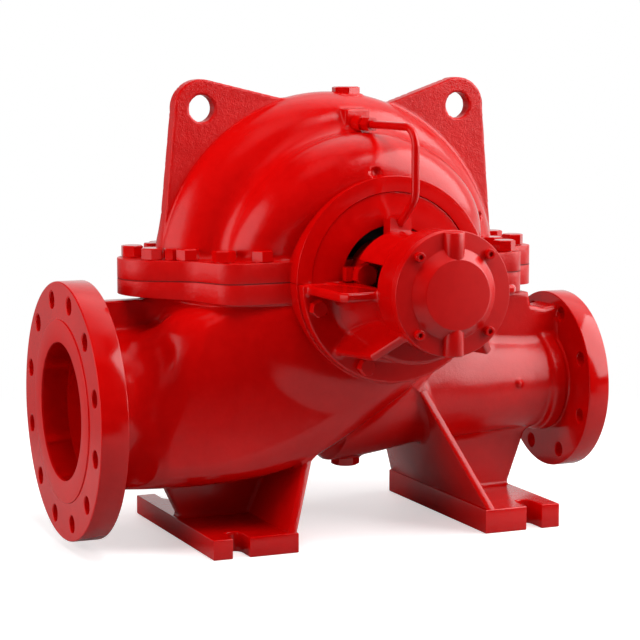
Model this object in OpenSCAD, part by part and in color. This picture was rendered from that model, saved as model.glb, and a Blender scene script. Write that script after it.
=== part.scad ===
// Horizontal split case pump: X runs from suction to discharge, Y along the shaft, Z up from the floor.

/* [Casing] */
// Height of the shaft centre above the floor
shaft_h = 393; // [385:1:405]
// Drop from the shaft centre to the pipe centre line
pipe_drop = 191; // [185:1:197]
// Outer radius of the volute
volute_r = 277; // [270:1:282]
// Radius of the volute's rounded section
volute_round = 64; // [58:1:68]
// Shift of the volute centre towards the suction side
volute_shift_x = 8; // [4:1:12]
// Shift of the volute centre below the shaft
volute_shift_z = 7; // [3:1:10]
// Outer radius of the suction chambers
chamber_r = 212; // [206:1:218]
// Radius of the chambers' rounded shoulder
chamber_round = 66; // [60:1:70]
// Shift of the chambers towards the suction side
chamber_shift = 16; // [10:1:20]
// Distance from the middle of the pump to the end ring face
end_face_y = 171; // [168:1:176]
// Radius of the end rings
end_ring_r = 152; // [148:1:156]

/* [Parting flange] */
// Thickness of the upper flange
upper_flange_t = 29; // [25:1:33]
// Thickness of the lower flange
lower_flange_t = 30; // [26:1:34]
// Thickness of the parting gasket
gasket_t = 1.5; // [1:0.25:2]
// Distance from the shaft to the straight front and rear edges
flange_edge_y = 146; // [143:1:150]
// Radius of the suction side corners
corner_r = 42; // [38:1:46]

/* [Suction nozzle] */
// Distance from the middle of the pump to the suction raised face
suction_face = 455; // [450:1:465]
// Width of the suction flange outside its bolt circle
suction_rim = 25.4; // [22:0.1:29]
// Thickness of the suction flange
suction_flange_t = 41.3; // [38:0.1:44]
// Diameter of the suction raised face
suction_raised_d = 269.9; // [260:0.1:280]
// Suction bolt circle diameter
suction_pcd = 330.2; // [325:0.1:335]
// Diameter of a suction bolt hole
suction_hole_d = 25.4; // [22:0.1:28]
// Bore of the suction nozzle
suction_bore_d = 203.2; // [195:0.1:208]
// Outer diameter of the suction nozzle
suction_pipe_d = 236; // [230:1:242]

/* [Suction passage] */
// Distance from the middle of the pump to the ridge where the passage's front wall meets the nozzle
belly_x = 347; // [340:1:352]
// Distance from the middle plane to that ridge
belly_y = 134; // [130:1:138]
// Distance from the middle plane to the front wall beside the shaft
belly_wall_y = 165; // [160:1:168]
// Height of the passage's floor above the ground
belly_floor_h = 91; // [86:1:96]
// Radius of the passage's long edges
belly_r = 58; // [50:1:62]
// Thickness of the rib between the suction flange and the parting flange
suction_rib_t = 26; // [20:1:32]

/* [Discharge nozzle] */
// Distance from the middle of the pump to the discharge raised face
discharge_face = 388; // [384:1:396]
// Width of the discharge flange outside its bolt circle
discharge_rim = 22.2; // [19:0.1:25]
// Thickness of the discharge flange
discharge_flange_t = 34.9; // [32:0.1:37]
// Diameter of the discharge raised face
discharge_raised_d = 185.7; // [180:0.1:190]
// Discharge bolt circle diameter
discharge_pcd = 235; // [230:0.1:240]
// Diameter of a discharge bolt hole
discharge_hole_d = 22.2; // [20:0.1:24]
// Bore of the discharge nozzle
discharge_bore_d = 127; // [120:0.1:130]
// Outer diameter of the discharge nozzle
discharge_pipe_d = 150; // [144:1:156]
// Height of both raised faces
raised_h = 1.6; // [1:0.1:3]

/* [Feet] */
// Distance from the middle of the pump to a foot's inner edge
foot_inner_x = 150; // [146:1:155]
// Width of a foot along the pipe line
foot_w = 132; // [126:1:140]
// Length of a foot along the shaft
foot_l = 344; // [336:1:352]
// Thickness of the foot plates
foot_t = 30; // [26:1:34]
// Distance from the middle of the pump to the hold-down slots
slot_x = 239; // [234:1:244]
// Width of the hold-down slots
slot_w = 26; // [22:1:30]
// Depth of the hold-down slots from the foot's edge
slot_depth = 46; // [40:1:52]
// Thickness of the inclined foot walls
foot_wall_t = 22; // [18:1:26]
// Thickness of the foot webs
foot_web_t = 26; // [20:1:32]

/* [Lifting lugs] */
// Thickness of the lug plates
lug_t = 24; // [20:1:28]
// Diameter of the lug holes
lug_hole_d = 40; // [34:1:44]
// Suction side lug hole distance from the shaft
lug_left_x = 236; // [230:1:242]
// Discharge side lug hole distance from the shaft
lug_right_x = 184; // [178:1:190]
// Height of the lug holes above the shaft
lug_hole_z = 247; // [242:1:252]
// Rim of metal round the lug holes
lug_rim = 23; // [20:1:26]

/* [Bearing brackets] */
// Radius of the half round bracket flange
bracket_flange_r = 150; // [147:0.5:151]
// Thickness of the bracket flange
bracket_flange_t = 18; // [16:1:19]
// Radius of the bearing barrel
barrel_r = 75; // [73:1:77]
// Wall of the bearing barrel
barrel_wall = 10; // [9:0.5:11]
// Distance from the middle of the pump to the back of the barrel
barrel_back_y = 194; // [192:1:196]
// Radius of the barrel's head
head_r = 86; // [83:1:87]
// Length of the barrel's head
head_w = 52; // [48:1:56]
// Distance from the middle of the pump to the head's end face
barrel_end_y = 352; // [348:1:356]
// Thickness of the side arms
arm_t = 14; // [11:1:17]
// Reach of the side arms from the shaft
arm_reach = 144; // [140:1:146]
// Thickness of the lower ribs
rib_t = 13; // [10:1:15]
// Reach of the lower ribs from the shaft
rib_reach = 142; // [138:1:145]
// Angle of the lower ribs below level
rib_angle = 46; // [42:1:50]
// Length of the side windows along the shaft
window_l = 40; // [36:1:44]
// Height of the side windows
window_h = 34; // [32:1:36]

/* [Bearing covers] */
// Radius of a bearing cover's disc
cover_r = 88; // [87:0.5:90]
// Thickness of a bearing cover's disc
cover_t = 15; // [12:1:18]
// Radius at the foot of the cover's hub
hub_base_r = 64; // [60:1:66]
// Radius of the hub's face
hub_r = 49; // [45:1:53]
// Height of the hub
hub_h = 15; // [12:1:18]
// Radius of the grease bosses
boss_r = 15; // [12:1:17]

/* [Shaft and seals] */
// Radius of the shaft between the bearings
shaft_r = 30; // [28:0.5:32]
// Radius of the shaft inside the casing
shaft_mid_r = 36; // [34:0.5:37]
// Radius of the bearing seats
journal_r = 27; // [26.5:0.5:27.5]
// Radius of the coupling end
stub_r = 25; // [24:0.5:26]
// Length of the coupling end beyond the rear hub
stub_l = 105; // [90:1:115]
// Outer radius of the bearings
bearing_r = 55; // [52:1:58]
// Width of the bearings
bearing_w = 40; // [36:1:42]
// Outer radius of the shaft sleeves
sleeve_r = 39; // [38:0.5:40]
// Outer radius of the seal covers
seal_cover_r = 128; // [125:1:131]
// Depth of a seal cover from its face to its seat
seal_cover_t = 44; // [40:1:48]
// Step from the end ring back to the seal cover
seal_cover_step = 2; // [1:0.5:4]
// Radius of the recess in a seal cover
recess_r = 80; // [77:1:83]
// Depth of that recess
recess_depth = 20; // [16:1:24]
// Outer radius of the gland
gland_r = 60; // [58:0.5:61]
// Distance of the gland studs from the shaft
gland_stud_x = 51; // [49:1:53]
// Height of the gland's ears above the shaft
gland_ear_z = 13; // [12.5:0.5:14]
// Reach of the gland's ears from the shaft
gland_ear_x = 83; // [80:1:86]
// Thickness of the gland plate
gland_t = 14; // [12:1:15]
// Outer radius of the water deflectors
deflector_r = 54; // [50:1:58]
// Width of the water deflectors
deflector_w = 8; // [6:1:10]
// Width of the shaft key
key_w = 14; // [12:1:16]
// Height of the shaft key
key_h = 9; // [8:1:10]
// Length of the shaft key
key_l = 80; // [70:1:85]

/* [Flush line] */
// Radius of the flush tube
tube_r = 6; // [5:0.5:7]
// Bend radius of the flush tube
tube_bend = 28; // [24:1:32]
// Height of the tube's level run above the shaft
tube_z = 224; // [221:1:227]
// Distance from the middle of the pump to the upright run
tube_y = 232; // [229:1:236]
// Distance of the upright run from the pump's middle plane
flush_x = 6; // [4:1:8]
// Turn of the flush line about its upright run
flush_turn = 5.8; // [5:0.2:6.4]
// Slant of the tube's lower run from upright
tube_slant = 48; // [46:1:50]
// Height above the shaft where the tube enters the elbow
tube_end_z = 82; // [81:0.5:84]
// Width of the elbow block
elbow_w = 36; // [32:1:40]
// Height of the elbow block's top above the shaft
elbow_top_z = 92; // [91:1:95]
// Width across the nuts
nut_w = 22; // [20:1:24]

/* [Plugs] */
// Radius of the vent and drain bosses
plug_boss_r = 24; // [20:1:28]
// Radius of the plug shanks
plug_r = 13; // [11:1:15]
// Width of the plugs' square heads
plug_head_w = 22; // [18:1:24]
// Height of the plugs' heads
plug_head_h = 12; // [9:1:15]
// Depth of the plug holes
plug_depth = 14; // [10:1:18]

/* [Hidden] */
$fn = 96;
// Play between turned pieces and their seats
play = 0.15;
// Overlap that lets one cut or joined shape pass into the next
over = 1;
// Half width of the blocks that keep one half of a shape
huge = 1000;
pipe_h = shaft_h - pipe_drop;
lower_top = shaft_h - gasket_t / 2;
upper_bottom = shaft_h + gasket_t / 2;
suction_holes = 12;
discharge_holes = 8;
suction_back = suction_face - raised_h - suction_flange_t;
discharge_back = discharge_face - raised_h - discharge_flange_t;
suction_flange_d = suction_pcd + 2 * suction_rim;
discharge_flange_d = discharge_pcd + 2 * discharge_rim;
suction_bore_l = 120;
discharge_bore_l = 225;
foot_outer_x = foot_inner_x + foot_w;
foot_wall_top_z = 215;
foot_wall_lean = 0.425 * (foot_wall_top_z - foot_t);
foot_wall_taper = 0.61 * (foot_wall_top_z - foot_t);
seal_face_y = end_face_y - seal_cover_step;
seal_seat_y = seal_face_y - seal_cover_t;
recess_floor_y = seal_face_y - recess_depth;
gland_seat_y = recess_floor_y - 10;
gland_back_y = end_face_y + 5;
casing_bore_r = 44;
bracket_face_y = end_face_y + bracket_flange_t;
bearing_back_y = barrel_end_y - 6 - bearing_w;
cover_face_y = barrel_end_y + cover_t;
hub_face_y = cover_face_y + hub_h;
cavity_end_y = barrel_end_y - head_w - 2;
sleeve_end_y = cavity_end_y - deflector_w - 30;
head_back_y = barrel_end_y - head_w;
elbow_front_y = barrel_back_y - 1.5;
elbow_back_y = end_face_y + 3;
tube_end_y = elbow_front_y - 5;
shaft_end_y = hub_face_y + stub_l;
key_mid_y = hub_face_y + stub_l - key_l / 2 - 10;
take_off_y = volute_round + 3;
take_off_r = tube_z + 2;
tube_start_y = 110;
tube_x_fn = 32;
// Noses of the parting flange: centre distance and radius
nose_left = [-305, 58];
nose_right = [269, 27];
nose_right_y = 35;
lug_left_foot = 300;
lug_right_foot = 244;
corner_left_x = -220;
corner_right_x = 209;
ear_r = 25;
ear_y = flange_edge_y - ear_r;
corner_y = flange_edge_y - corner_r;
// Parting flange outline as circles: centre and radius, the radius negative where the edge is hollow
flange_circles = [
    [nose_right[0], nose_right_y, nose_right[1]],
    [corner_right_x + 70, ear_y - 14, -45],
    [corner_right_x, ear_y, ear_r],
    [corner_left_x, corner_y, corner_r],
    [-318, corner_y + 14, -52],
    [nose_left[0], 0, nose_left[1]],
    [-318, -corner_y - 14, -52],
    [corner_left_x, -corner_y, corner_r],
    [corner_right_x, -ear_y, ear_r],
    [corner_right_x + 70, 14 - ear_y, -45],
    [nose_right[0], -nose_right_y, nose_right[1]],
];
arc_steps = 10;
// Discharge nozzle: where its taper ends, the taper and the neck behind the flange
taper_end_x = 290;
taper_h = 18;
neck_h = 14;
// Web above the discharge nozzle: half width, ends, and heights above the pipe centre line
web_half = 34;
web_inner_x = 150;
web_step_x = 300;
web_neck_x = 260;
web_end_h = 113;
web_step_h = 124;
web_top_h = 147;
// Suction passage: distances of its lower edge with their rise above the floor
belly_low = [[belly_x - belly_r, 0], [200, 0], [100, 35]];
// Distances of its upper edge, with the depth below the shaft and the lean of the wall there
belly_high = [[belly_x - belly_r, 102, 3], [250, 71, 8]];
// Ridge: radius, and its reach above the floor and below the shaft
ridge_r = 12;
ridge_low = 48;
ridge_high = 118;
// Where the passage leaves the nozzle, counted from the flange
lobe_start = 42;
lobe_l = 6;
lobe_r = suction_pipe_d / 2 - 6;
// Two pockets at the bore's end, either side of the splitter
pocket = [300, 48, 34];
pocket_r = 50;
pocket_end_r = 20;
pocket_end_l = 42;
// Flare of the bracket's trough towards its flange: height over the barrel and length
trough_flare_h = 32;
trough_flare_l = 62;
vent_boss_h = 50;
socket_l = 30;

// Angle of the outward normal where the edge leaves circle a for circle b
function leave(a, b) =
    let (dx = b[0] - a[0], dy = b[1] - a[1], d = sqrt(dx * dx + dy * dy), s = (a[2] - b[2]) / d)
    atan2(dy * s - dx * sqrt(1 - s * s), dx * s + dy * sqrt(1 - s * s));

// Turn from one normal to the next, counter-clockwise round a bulge and clockwise round a hollow
function turn(from, to, r) =
    let (raw = (to - from) % 360, ccw = raw < 0 ? raw + 360 : raw)
    r > 0 ? ccw : ccw - 360;

// Closed edge that runs round a list of circles
function belt(c) = [
    for (i = [0 : len(c) - 1])
        let (
            n = len(c),
            a = leave(c[(i + n - 1) % n], c[i]),
            t = turn(a, leave(c[i], c[(i + 1) % n]), c[i][2])
        )
        for (k = [0 : arc_steps])
            [
                c[i][0] + c[i][2] * cos(a + t * k / arc_steps),
                c[i][1] + c[i][2] * sin(a + t * k / arc_steps),
            ]
];

// Round bar along X from x0 to x1
module bar_x(x0, x1, r0, r1) {
    translate([x0, 0, 0])
        rotate([0, 90, 0])
            cylinder(h = x1 - x0, r1 = r0, r2 = r1);
}

// Round bar towards the front, from distance y0 to y1
module bar_front(y0, y1, r0, r1) {
    translate([0, -y0, 0])
        rotate([90, 0, 0])
            cylinder(h = y1 - y0, r1 = r0, r2 = r1);
}

// Shape on the shaft centre, turned so that its own Z runs to the front
module at_shaft() {
    translate([0, 0, shaft_h])
        children();
}

// Shape moved into the flush line's plane, which turns about the upright run
module at_flush() {
    translate([flush_x, -tube_y, shaft_h])
        rotate([0, 0, flush_turn])
            translate([0, tube_y, 0])
                children();
}

// The drive end copy of a front piece
module rear() {
    mirror([0, 1, 0])
        children();
}

// A front piece and its rear copy together
module both_ends() {
    children();
    rear()
        children();
}

// Block below a height
module below(z) {
    translate([-huge, -huge, z - huge])
        cube([2 * huge, 2 * huge, huge]);
}

// Block above a height
module above(z) {
    translate([-huge, -huge, z])
        cube([2 * huge, 2 * huge, huge]);
}

// Ring of round bars standing for bolt holes on a nozzle flange
module hole_ring(x0, x1, pcd, count, d) {
    for (i = [0 : count - 1])
        rotate([(i + 0.5) * 360 / count, 0, 0])
            translate([0, 0, pcd / 2])
                bar_x(x0, x1, d / 2, d / 2);
}

module volute_body() {
    translate([-volute_shift_x, 0, -volute_shift_z])
        rotate([90, 0, 0]) {
            rotate_extrude()
                translate([volute_r - volute_round, 0])
                    circle(r = volute_round);
            translate([0, 0, -volute_round])
                cylinder(h = 2 * volute_round, r = volute_r - volute_round);
        }
}

module chamber_body() {
    mid = end_face_y - 6 - chamber_round;
    translate([-chamber_shift, 0, 0]) {
        bar_front(0, mid, chamber_r, chamber_r);
        bar_front(0, mid + chamber_round, chamber_r - chamber_round, chamber_r - chamber_round);
        translate([0, -mid, 0])
            rotate([90, 0, 0])
                rotate_extrude()
                    translate([chamber_r - chamber_round, 0])
                        circle(r = chamber_round);
    }
}

module flange_plate(z, t) {
    translate([0, 0, z])
        linear_extrude(t)
            polygon(belt(flange_circles));
}

// Everything turned out of the casing round the shaft
module shaft_cuts() {
    at_shaft() {
        bar_front(-end_face_y - over, end_face_y + over, casing_bore_r, casing_bore_r);
        both_ends()
            bar_front(seal_seat_y, end_face_y + over, seal_cover_r + play, seal_cover_r + play);
    }
}

// Suction passage's outer wall, from the nozzle to one end ring
// Distance of the passage's front wall from the middle plane, at distance x towards the suction flange
function wall_y(x) = belly_wall_y - (belly_wall_y - belly_y) * x / belly_x;

// Belly of the suction passage at the front, from the nozzle round to the shaft
module suction_lobe() {
    hull($fn = 24) {
        translate([0, 0, pipe_h])
            bar_x(lobe_start - suction_back, lobe_start + lobe_l - suction_back, lobe_r, lobe_r, $fn = 32);
        at_shaft()
            bar_front(100, end_face_y - 16, end_ring_r - 4, end_ring_r - 7, $fn = 32);
        translate([0.8 * ridge_r - belly_x, ridge_r - belly_y, belly_floor_h + ridge_low])
            cylinder(h = shaft_h - ridge_high - belly_floor_h - ridge_low, r = ridge_r, $fn = 16);
        for (e = belly_low)
            translate([-e[0], belly_r - wall_y(e[0]), belly_floor_h + belly_r + e[1]])
                sphere(r = belly_r, $fn = 24);
        for (e = belly_high)
            translate([-e[0], belly_r + e[2] - wall_y(e[0]), shaft_h - e[1]])
                sphere(r = belly_r, $fn = 24);
    }
}

// Upright rib between the suction flange and the underside of the parting flange
module suction_rib() {
    translate([0, suction_rib_t / 2, 0])
        rotate([90, 0, 0])
            linear_extrude(suction_rib_t)
                polygon([
                    [-suction_back - over, pipe_h],
                    [-suction_back - over, lower_top - lower_flange_t],
                    [-belly_x + belly_r, lower_top - lower_flange_t + over],
                    [-belly_x + belly_r, pipe_h],
                ]);
}

module suction_nozzle() {
    translate([0, 0, pipe_h]) {
        bar_x(-suction_back - over, -200, suction_pipe_d / 2, suction_pipe_d / 2);
        bar_x(-suction_back - over, -suction_back + 16, suction_pipe_d / 2 + 18, suction_pipe_d / 2 - over);
        bar_x(-suction_back - suction_flange_t, -suction_back, suction_flange_d / 2, suction_flange_d / 2);
        bar_x(-suction_face, -suction_back - over, suction_raised_d / 2, suction_raised_d / 2);
    }
}

module discharge_nozzle() {
    translate([0, 0, pipe_h]) {
        bar_x(0, taper_end_x, discharge_pipe_d / 2 + taper_h, discharge_pipe_d / 2);
        bar_x(taper_end_x - over, discharge_back + over, discharge_pipe_d / 2, discharge_pipe_d / 2);
        bar_x(
            discharge_back - taper_h,
            discharge_back + over,
            discharge_pipe_d / 2 - over,
            discharge_pipe_d / 2 + neck_h
        );
        bar_x(
            discharge_back,
            discharge_back + discharge_flange_t,
            discharge_flange_d / 2,
            discharge_flange_d / 2
        );
        bar_x(discharge_back + over, discharge_face, discharge_raised_d / 2, discharge_raised_d / 2);
    }
    translate([0, web_half, 0])
        rotate([90, 0, 0])
            linear_extrude(2 * web_half)
                polygon([
                    [web_inner_x, pipe_h],
                    [discharge_back + over, pipe_h],
                    [discharge_back + over, pipe_h + web_end_h],
                    [web_step_x, pipe_h + web_step_h],
                    [web_step_x, pipe_h + web_top_h],
                    [web_neck_x, pipe_h + web_top_h],
                    [web_neck_x, lower_top - lower_flange_t + over],
                    [web_inner_x, lower_top - lower_flange_t + over],
                ]);
}

module nozzle_cuts() {
    translate([0, 0, pipe_h]) {
        bar_x(-suction_face - over, -suction_face + suction_bore_l, suction_bore_d / 2, suction_bore_d / 2);
        both_ends()
            translate([-pocket[0], -pocket[1], -pocket[2]]) {
                cylinder(h = 2 * pocket[2], r = pocket_r);
                translate([0, 0, -pocket_end_l])
                    cylinder(h = pocket_end_l, r1 = pocket_end_r, r2 = pocket_r);
                translate([0, 0, 2 * pocket[2]])
                    cylinder(h = pocket_end_l, r1 = pocket_r, r2 = pocket_end_r);
            }
        hole_ring(-suction_face - over, -suction_back + over, suction_pcd, suction_holes, suction_hole_d);
        bar_x(
            discharge_face - discharge_bore_l,
            discharge_face + over,
            discharge_bore_d / 2,
            discharge_bore_d / 2
        );
        hole_ring(
            discharge_back - over,
            discharge_face + over,
            discharge_pcd,
            discharge_holes,
            discharge_hole_d
        );
    }
}

// U shaped slot that opens at the front edge of a foot
module foot_slot() {
    end = -foot_l / 2 + slot_depth - slot_w / 2;
    translate([0, end, -over])
        cylinder(h = foot_t + 2 * over, r = slot_w / 2);
    translate([-slot_w / 2, -foot_l / 2 - over, -over])
        cube([slot_w, slot_depth - slot_w / 2 + over, foot_t + 2 * over]);
}

// Inclined wall of the discharge side foot, from the plate up into the casing
module foot_wall() {
    x0 = foot_inner_x;
    x1 = foot_inner_x + foot_wall_t;
    y0 = foot_l / 2;
    y1 = foot_l / 2 - foot_wall_taper;
    polyhedron(
        points = [
            [x0, -y0, foot_t - over],
            [x1, -y0, foot_t - over],
            [x1, y0, foot_t - over],
            [x0, y0, foot_t - over],
            [x0 - foot_wall_lean, -y1, foot_wall_top_z],
            [x1 - foot_wall_lean, -y1, foot_wall_top_z],
            [x1 - foot_wall_lean, y1, foot_wall_top_z],
            [x0 - foot_wall_lean, y1, foot_wall_top_z],
        ],
        faces = [
            [0, 1, 2, 3],
            [7, 6, 5, 4],
            [0, 4, 5, 1],
            [1, 5, 6, 2],
            [2, 6, 7, 3],
            [3, 7, 4, 0],
        ]
    );
}

module foot_plate() {
    difference() {
        translate([foot_inner_x, -foot_l / 2, 0])
            cube([foot_w, foot_l, foot_t]);
        both_ends()
            translate([slot_x, 0, 0])
                foot_slot();
    }
}

// Web under a nozzle, reaching out to top_x at top_z
module foot_web(top_x, top_z) {
    translate([0, foot_web_t / 2, 0])
        rotate([90, 0, 0])
            linear_extrude(foot_web_t)
                polygon([
                    [foot_inner_x, foot_t - over],
                    [foot_outer_x - 8, foot_t - over],
                    [top_x, top_z],
                    [top_x, top_z + 40],
                    [100, top_z + 40],
                    [100, foot_t + 100],
                ]);
}

module feet() {
    foot_plate();
    foot_wall();
    foot_web(foot_outer_x + 30, pipe_h - discharge_pipe_d / 2 + 6);
    mirror([1, 0, 0]) {
        foot_plate();
        foot_wall();
        foot_web(foot_outer_x + 22, pipe_h - suction_pipe_d / 2 + 8);
    }
}

module lower_casing() {
    color([0.66, 0.05, 0.05])
        difference() {
            union() {
                intersection() {
                    union() {
                        at_shaft()
                            volute_body();
                        both_ends()
                            suction_lobe();
                        at_shaft()
                            both_ends()
                                bar_front(90, end_face_y, end_ring_r, end_ring_r);
                    }
                    below(lower_top);
                }
                flange_plate(lower_top - lower_flange_t, lower_flange_t);
                suction_nozzle();
                suction_rib();
                discharge_nozzle();
                feet();
                translate([0, 0, pipe_h - 100])
                    cylinder(h = 60, r = plug_boss_r);
            }
            shaft_cuts();
            nozzle_cuts();
            translate([0, 0, pipe_h - 100 - over])
                cylinder(h = plug_depth + over, r = plug_r + play);
        }
}

// Flat lifting lug on the upper casing with its hole at distance hx
module lug(hx, foot_x) {
    hole_z = shaft_h + lug_hole_z;
    outer = lug_hole_d / 2 + lug_rim;
    translate([0, lug_t / 2, 0])
        rotate([90, 0, 0])
            difference() {
                union() {
                    linear_extrude(lug_t)
                        polygon([
                            [90, upper_bottom + upper_flange_t - over],
                            [foot_x, upper_bottom + upper_flange_t - over],
                            [hx + outer, hole_z - 4],
                            [hx, hole_z + outer],
                            [90, hole_z + 8],
                        ]);
                    translate([hx, hole_z, 0])
                        cylinder(h = lug_t, r = outer);
                }
                translate([hx, hole_z, -over])
                    cylinder(h = lug_t + 2 * over, r = lug_hole_d / 2);
            }
}

// Seat on the volute's shoulder for the flush take-off
module take_off_boss() {
    at_flush()
        translate([-21, -take_off_y, take_off_r - 20])
            cube([42, 34, 40]);
}

module upper_casing() {
    vent_top = volute_r - volute_shift_z + 2;
    color([0.70, 0.06, 0.05])
        difference() {
            union() {
                intersection() {
                    at_shaft() {
                        volute_body();
                        both_ends() {
                            chamber_body();
                            bar_front(90, end_face_y, end_ring_r, end_ring_r);
                        }
                    }
                    above(upper_bottom);
                }
                flange_plate(upper_bottom, upper_flange_t);
                mirror([1, 0, 0])
                    lug(lug_left_x, lug_left_foot);
                lug(lug_right_x, lug_right_foot);
                both_ends()
                    take_off_boss();
                at_shaft()
                    translate([0, 0, vent_top - vent_boss_h])
                        cylinder(h = vent_boss_h, r = plug_boss_r);
            }
            shaft_cuts();
            at_shaft()
                translate([0, 0, vent_top - plug_depth])
                    cylinder(h = plug_depth + over, r = plug_r + play);
        }
}

module parting_gasket() {
    color([0.16, 0.14, 0.13])
        translate([0, 0, lower_top])
            difference() {
                linear_extrude(gasket_t)
                    polygon(belt(flange_circles));
                translate([-seal_cover_r - play, -flange_edge_y - over, -over])
                    cube([2 * (seal_cover_r + play), 2 * (flange_edge_y + over), gasket_t + 2 * over]);
            }
}

module front_seal_cover() {
    color([0.62, 0.05, 0.05])
        at_shaft()
            difference() {
                bar_front(seal_seat_y, seal_face_y, seal_cover_r, seal_cover_r);
                bar_front(recess_floor_y, seal_face_y + over, recess_r, recess_r);
                bar_front(gland_seat_y, recess_floor_y + over, gland_r + play, gland_r + play);
                bar_front(seal_seat_y - over, gland_seat_y + over, casing_bore_r, casing_bore_r);
            }
}

module rear_seal_cover() {
    rear()
        front_seal_cover();
}

module bracket_arm() {
    translate([0, 0, -arm_t])
        linear_extrude(arm_t)
            polygon([
                [barrel_r - barrel_wall / 2, -bracket_face_y + over],
                [arm_reach, -bracket_face_y + over],
                [arm_reach - 6, -head_back_y + 8],
                [arm_reach - 14, -head_back_y - 2],
                [barrel_r - barrel_wall / 2, -head_back_y - 2],
            ]);
}

module bracket_rib() {
    rotate([0, rib_angle, 0])
        translate([0, 0, -rib_t / 2])
            linear_extrude(rib_t)
                polygon([
                    [barrel_r - barrel_wall / 2, -bracket_face_y + over],
                    [rib_reach, -bracket_face_y + over],
                    [rib_reach - 10, -head_back_y],
                    [head_r - 2, -barrel_end_y + 10],
                    [barrel_r - barrel_wall / 2, -barrel_end_y + 10],
                ]);
}

module bracket_window() {
    translate([gland_stud_x - 26, -barrel_back_y - window_l, over])
        cube([barrel_r, window_l + over, window_h]);
}

module front_bracket() {
    color([0.68, 0.05, 0.05])
        at_shaft()
            difference() {
                union() {
                    intersection() {
                        union() {
                            bar_front(end_face_y, bracket_face_y, bracket_flange_r, bracket_flange_r);
                            bar_front(
                                bracket_face_y - over,
                                head_back_y - 20,
                                barrel_r - 0.5,
                                barrel_r - 0.5
                            );
                            bar_front(
                                bracket_face_y - over,
                                bracket_face_y + trough_flare_l,
                                barrel_r + trough_flare_h,
                                barrel_r - 1
                            );
                        }
                        below(0);
                    }
                    bar_front(barrel_back_y, head_back_y + over, barrel_r, barrel_r);
                    bar_front(head_back_y, barrel_end_y, head_r, head_r);
                    bracket_arm();
                    mirror([1, 0, 0])
                        bracket_arm();
                    bracket_rib();
                    mirror([1, 0, 0])
                        bracket_rib();
                }
                bar_front(end_face_y - over, cavity_end_y, barrel_r - barrel_wall, barrel_r - barrel_wall);
                bar_front(cavity_end_y - over, barrel_end_y + over, shaft_r + 8, shaft_r + 8);
                bar_front(bearing_back_y, barrel_end_y + over, bearing_r + play, bearing_r + play);
                bracket_window();
                mirror([1, 0, 0])
                    bracket_window();
            }
}

module rear_bracket() {
    rear()
        front_bracket();
}

module front_bearing() {
    color([0.62, 0.63, 0.64])
        at_shaft()
            difference() {
                bar_front(bearing_back_y, bearing_back_y + bearing_w, bearing_r, bearing_r);
                bar_front(
                    bearing_back_y - over,
                    bearing_back_y + bearing_w + over,
                    journal_r + play,
                    journal_r + play
                );
            }
}

module rear_bearing() {
    rear()
        front_bearing();
}

// Cover disc, hub and grease bosses, with a spigot against the bearing
module cover_body() {
    difference() {
        union() {
            bar_front(barrel_end_y, cover_face_y, cover_r, cover_r);
            bar_front(cover_face_y - over, hub_face_y, hub_base_r, hub_r);
            intersection() {
                translate([0, -cover_face_y, -cover_r + 2])
                    cylinder(h = 2 * cover_r - 4, r = boss_r);
                bar_front(barrel_end_y, hub_face_y, cover_r, cover_r);
            }
            bar_front(bearing_back_y + bearing_w, barrel_end_y + over, bearing_r - play, bearing_r - play);
        }
        bar_front(bearing_back_y + bearing_w - over, barrel_end_y + 4, shaft_r + 8, shaft_r + 8);
    }
}

module front_bearing_cover() {
    color([0.70, 0.06, 0.05])
        at_shaft()
            cover_body();
}

module rear_bearing_cover() {
    color([0.70, 0.06, 0.05])
        at_shaft()
            rear()
                difference() {
                    cover_body();
                    bar_front(barrel_end_y, hub_face_y + over, stub_r + 1.5, stub_r + 1.5);
                }
}

module shaft() {
    color([0.60, 0.60, 0.60])
        at_shaft()
            difference() {
                union() {
                    bar_front(-recess_floor_y, recess_floor_y, shaft_mid_r, shaft_mid_r);
                    bar_front(-bearing_back_y, bearing_back_y, shaft_r, shaft_r);
                    both_ends()
                        bar_front(bearing_back_y - over, bearing_back_y + bearing_w, journal_r, journal_r);
                    bar_front(-hub_face_y - 2, -bearing_back_y, stub_r + 0.5, stub_r + 0.5);
                    bar_front(-shaft_end_y, -hub_face_y, stub_r, stub_r);
                }
                translate([-key_w / 2, key_mid_y - key_l / 2, stub_r - key_h / 2])
                    cube([key_w, key_l, key_h]);
            }
}

module shaft_key() {
    color([0.45, 0.45, 0.45])
        at_shaft()
            translate([-key_w / 2, key_mid_y - key_l / 2, stub_r - key_h / 2])
                cube([key_w, key_l, key_h]);
}

module front_sleeve() {
    color([0.70, 0.68, 0.62])
        at_shaft()
            difference() {
                bar_front(recess_floor_y, sleeve_end_y, sleeve_r, sleeve_r);
                bar_front(recess_floor_y - over, sleeve_end_y + over, shaft_r + play, shaft_r + play);
            }
}

module rear_sleeve() {
    rear()
        front_sleeve();
}

module front_gland() {
    ear_h = 2 * (gland_ear_z - 3);
    color([0.60, 0.05, 0.05])
        at_shaft()
            difference() {
                union() {
                    bar_front(gland_seat_y, gland_back_y + gland_t, gland_r, gland_r);
                    translate([-gland_ear_x, -gland_back_y - gland_t, gland_ear_z - ear_h / 2])
                        cube([2 * gland_ear_x, gland_t, ear_h]);
                }
                bar_front(
                    gland_seat_y - over,
                    gland_back_y + gland_t + over,
                    sleeve_r + 2 * play,
                    sleeve_r + 2 * play
                );
            }
}

module rear_gland() {
    rear()
        front_gland();
}

module front_deflector() {
    color([0.12, 0.12, 0.12])
        at_shaft()
            difference() {
                bar_front(sleeve_end_y, sleeve_end_y + deflector_w, deflector_r, deflector_r);
                bar_front(
                    sleeve_end_y - over,
                    sleeve_end_y + deflector_w + over,
                    shaft_r + play,
                    shaft_r + play
                );
            }
}

module rear_deflector() {
    rear()
        front_deflector();
}

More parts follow.
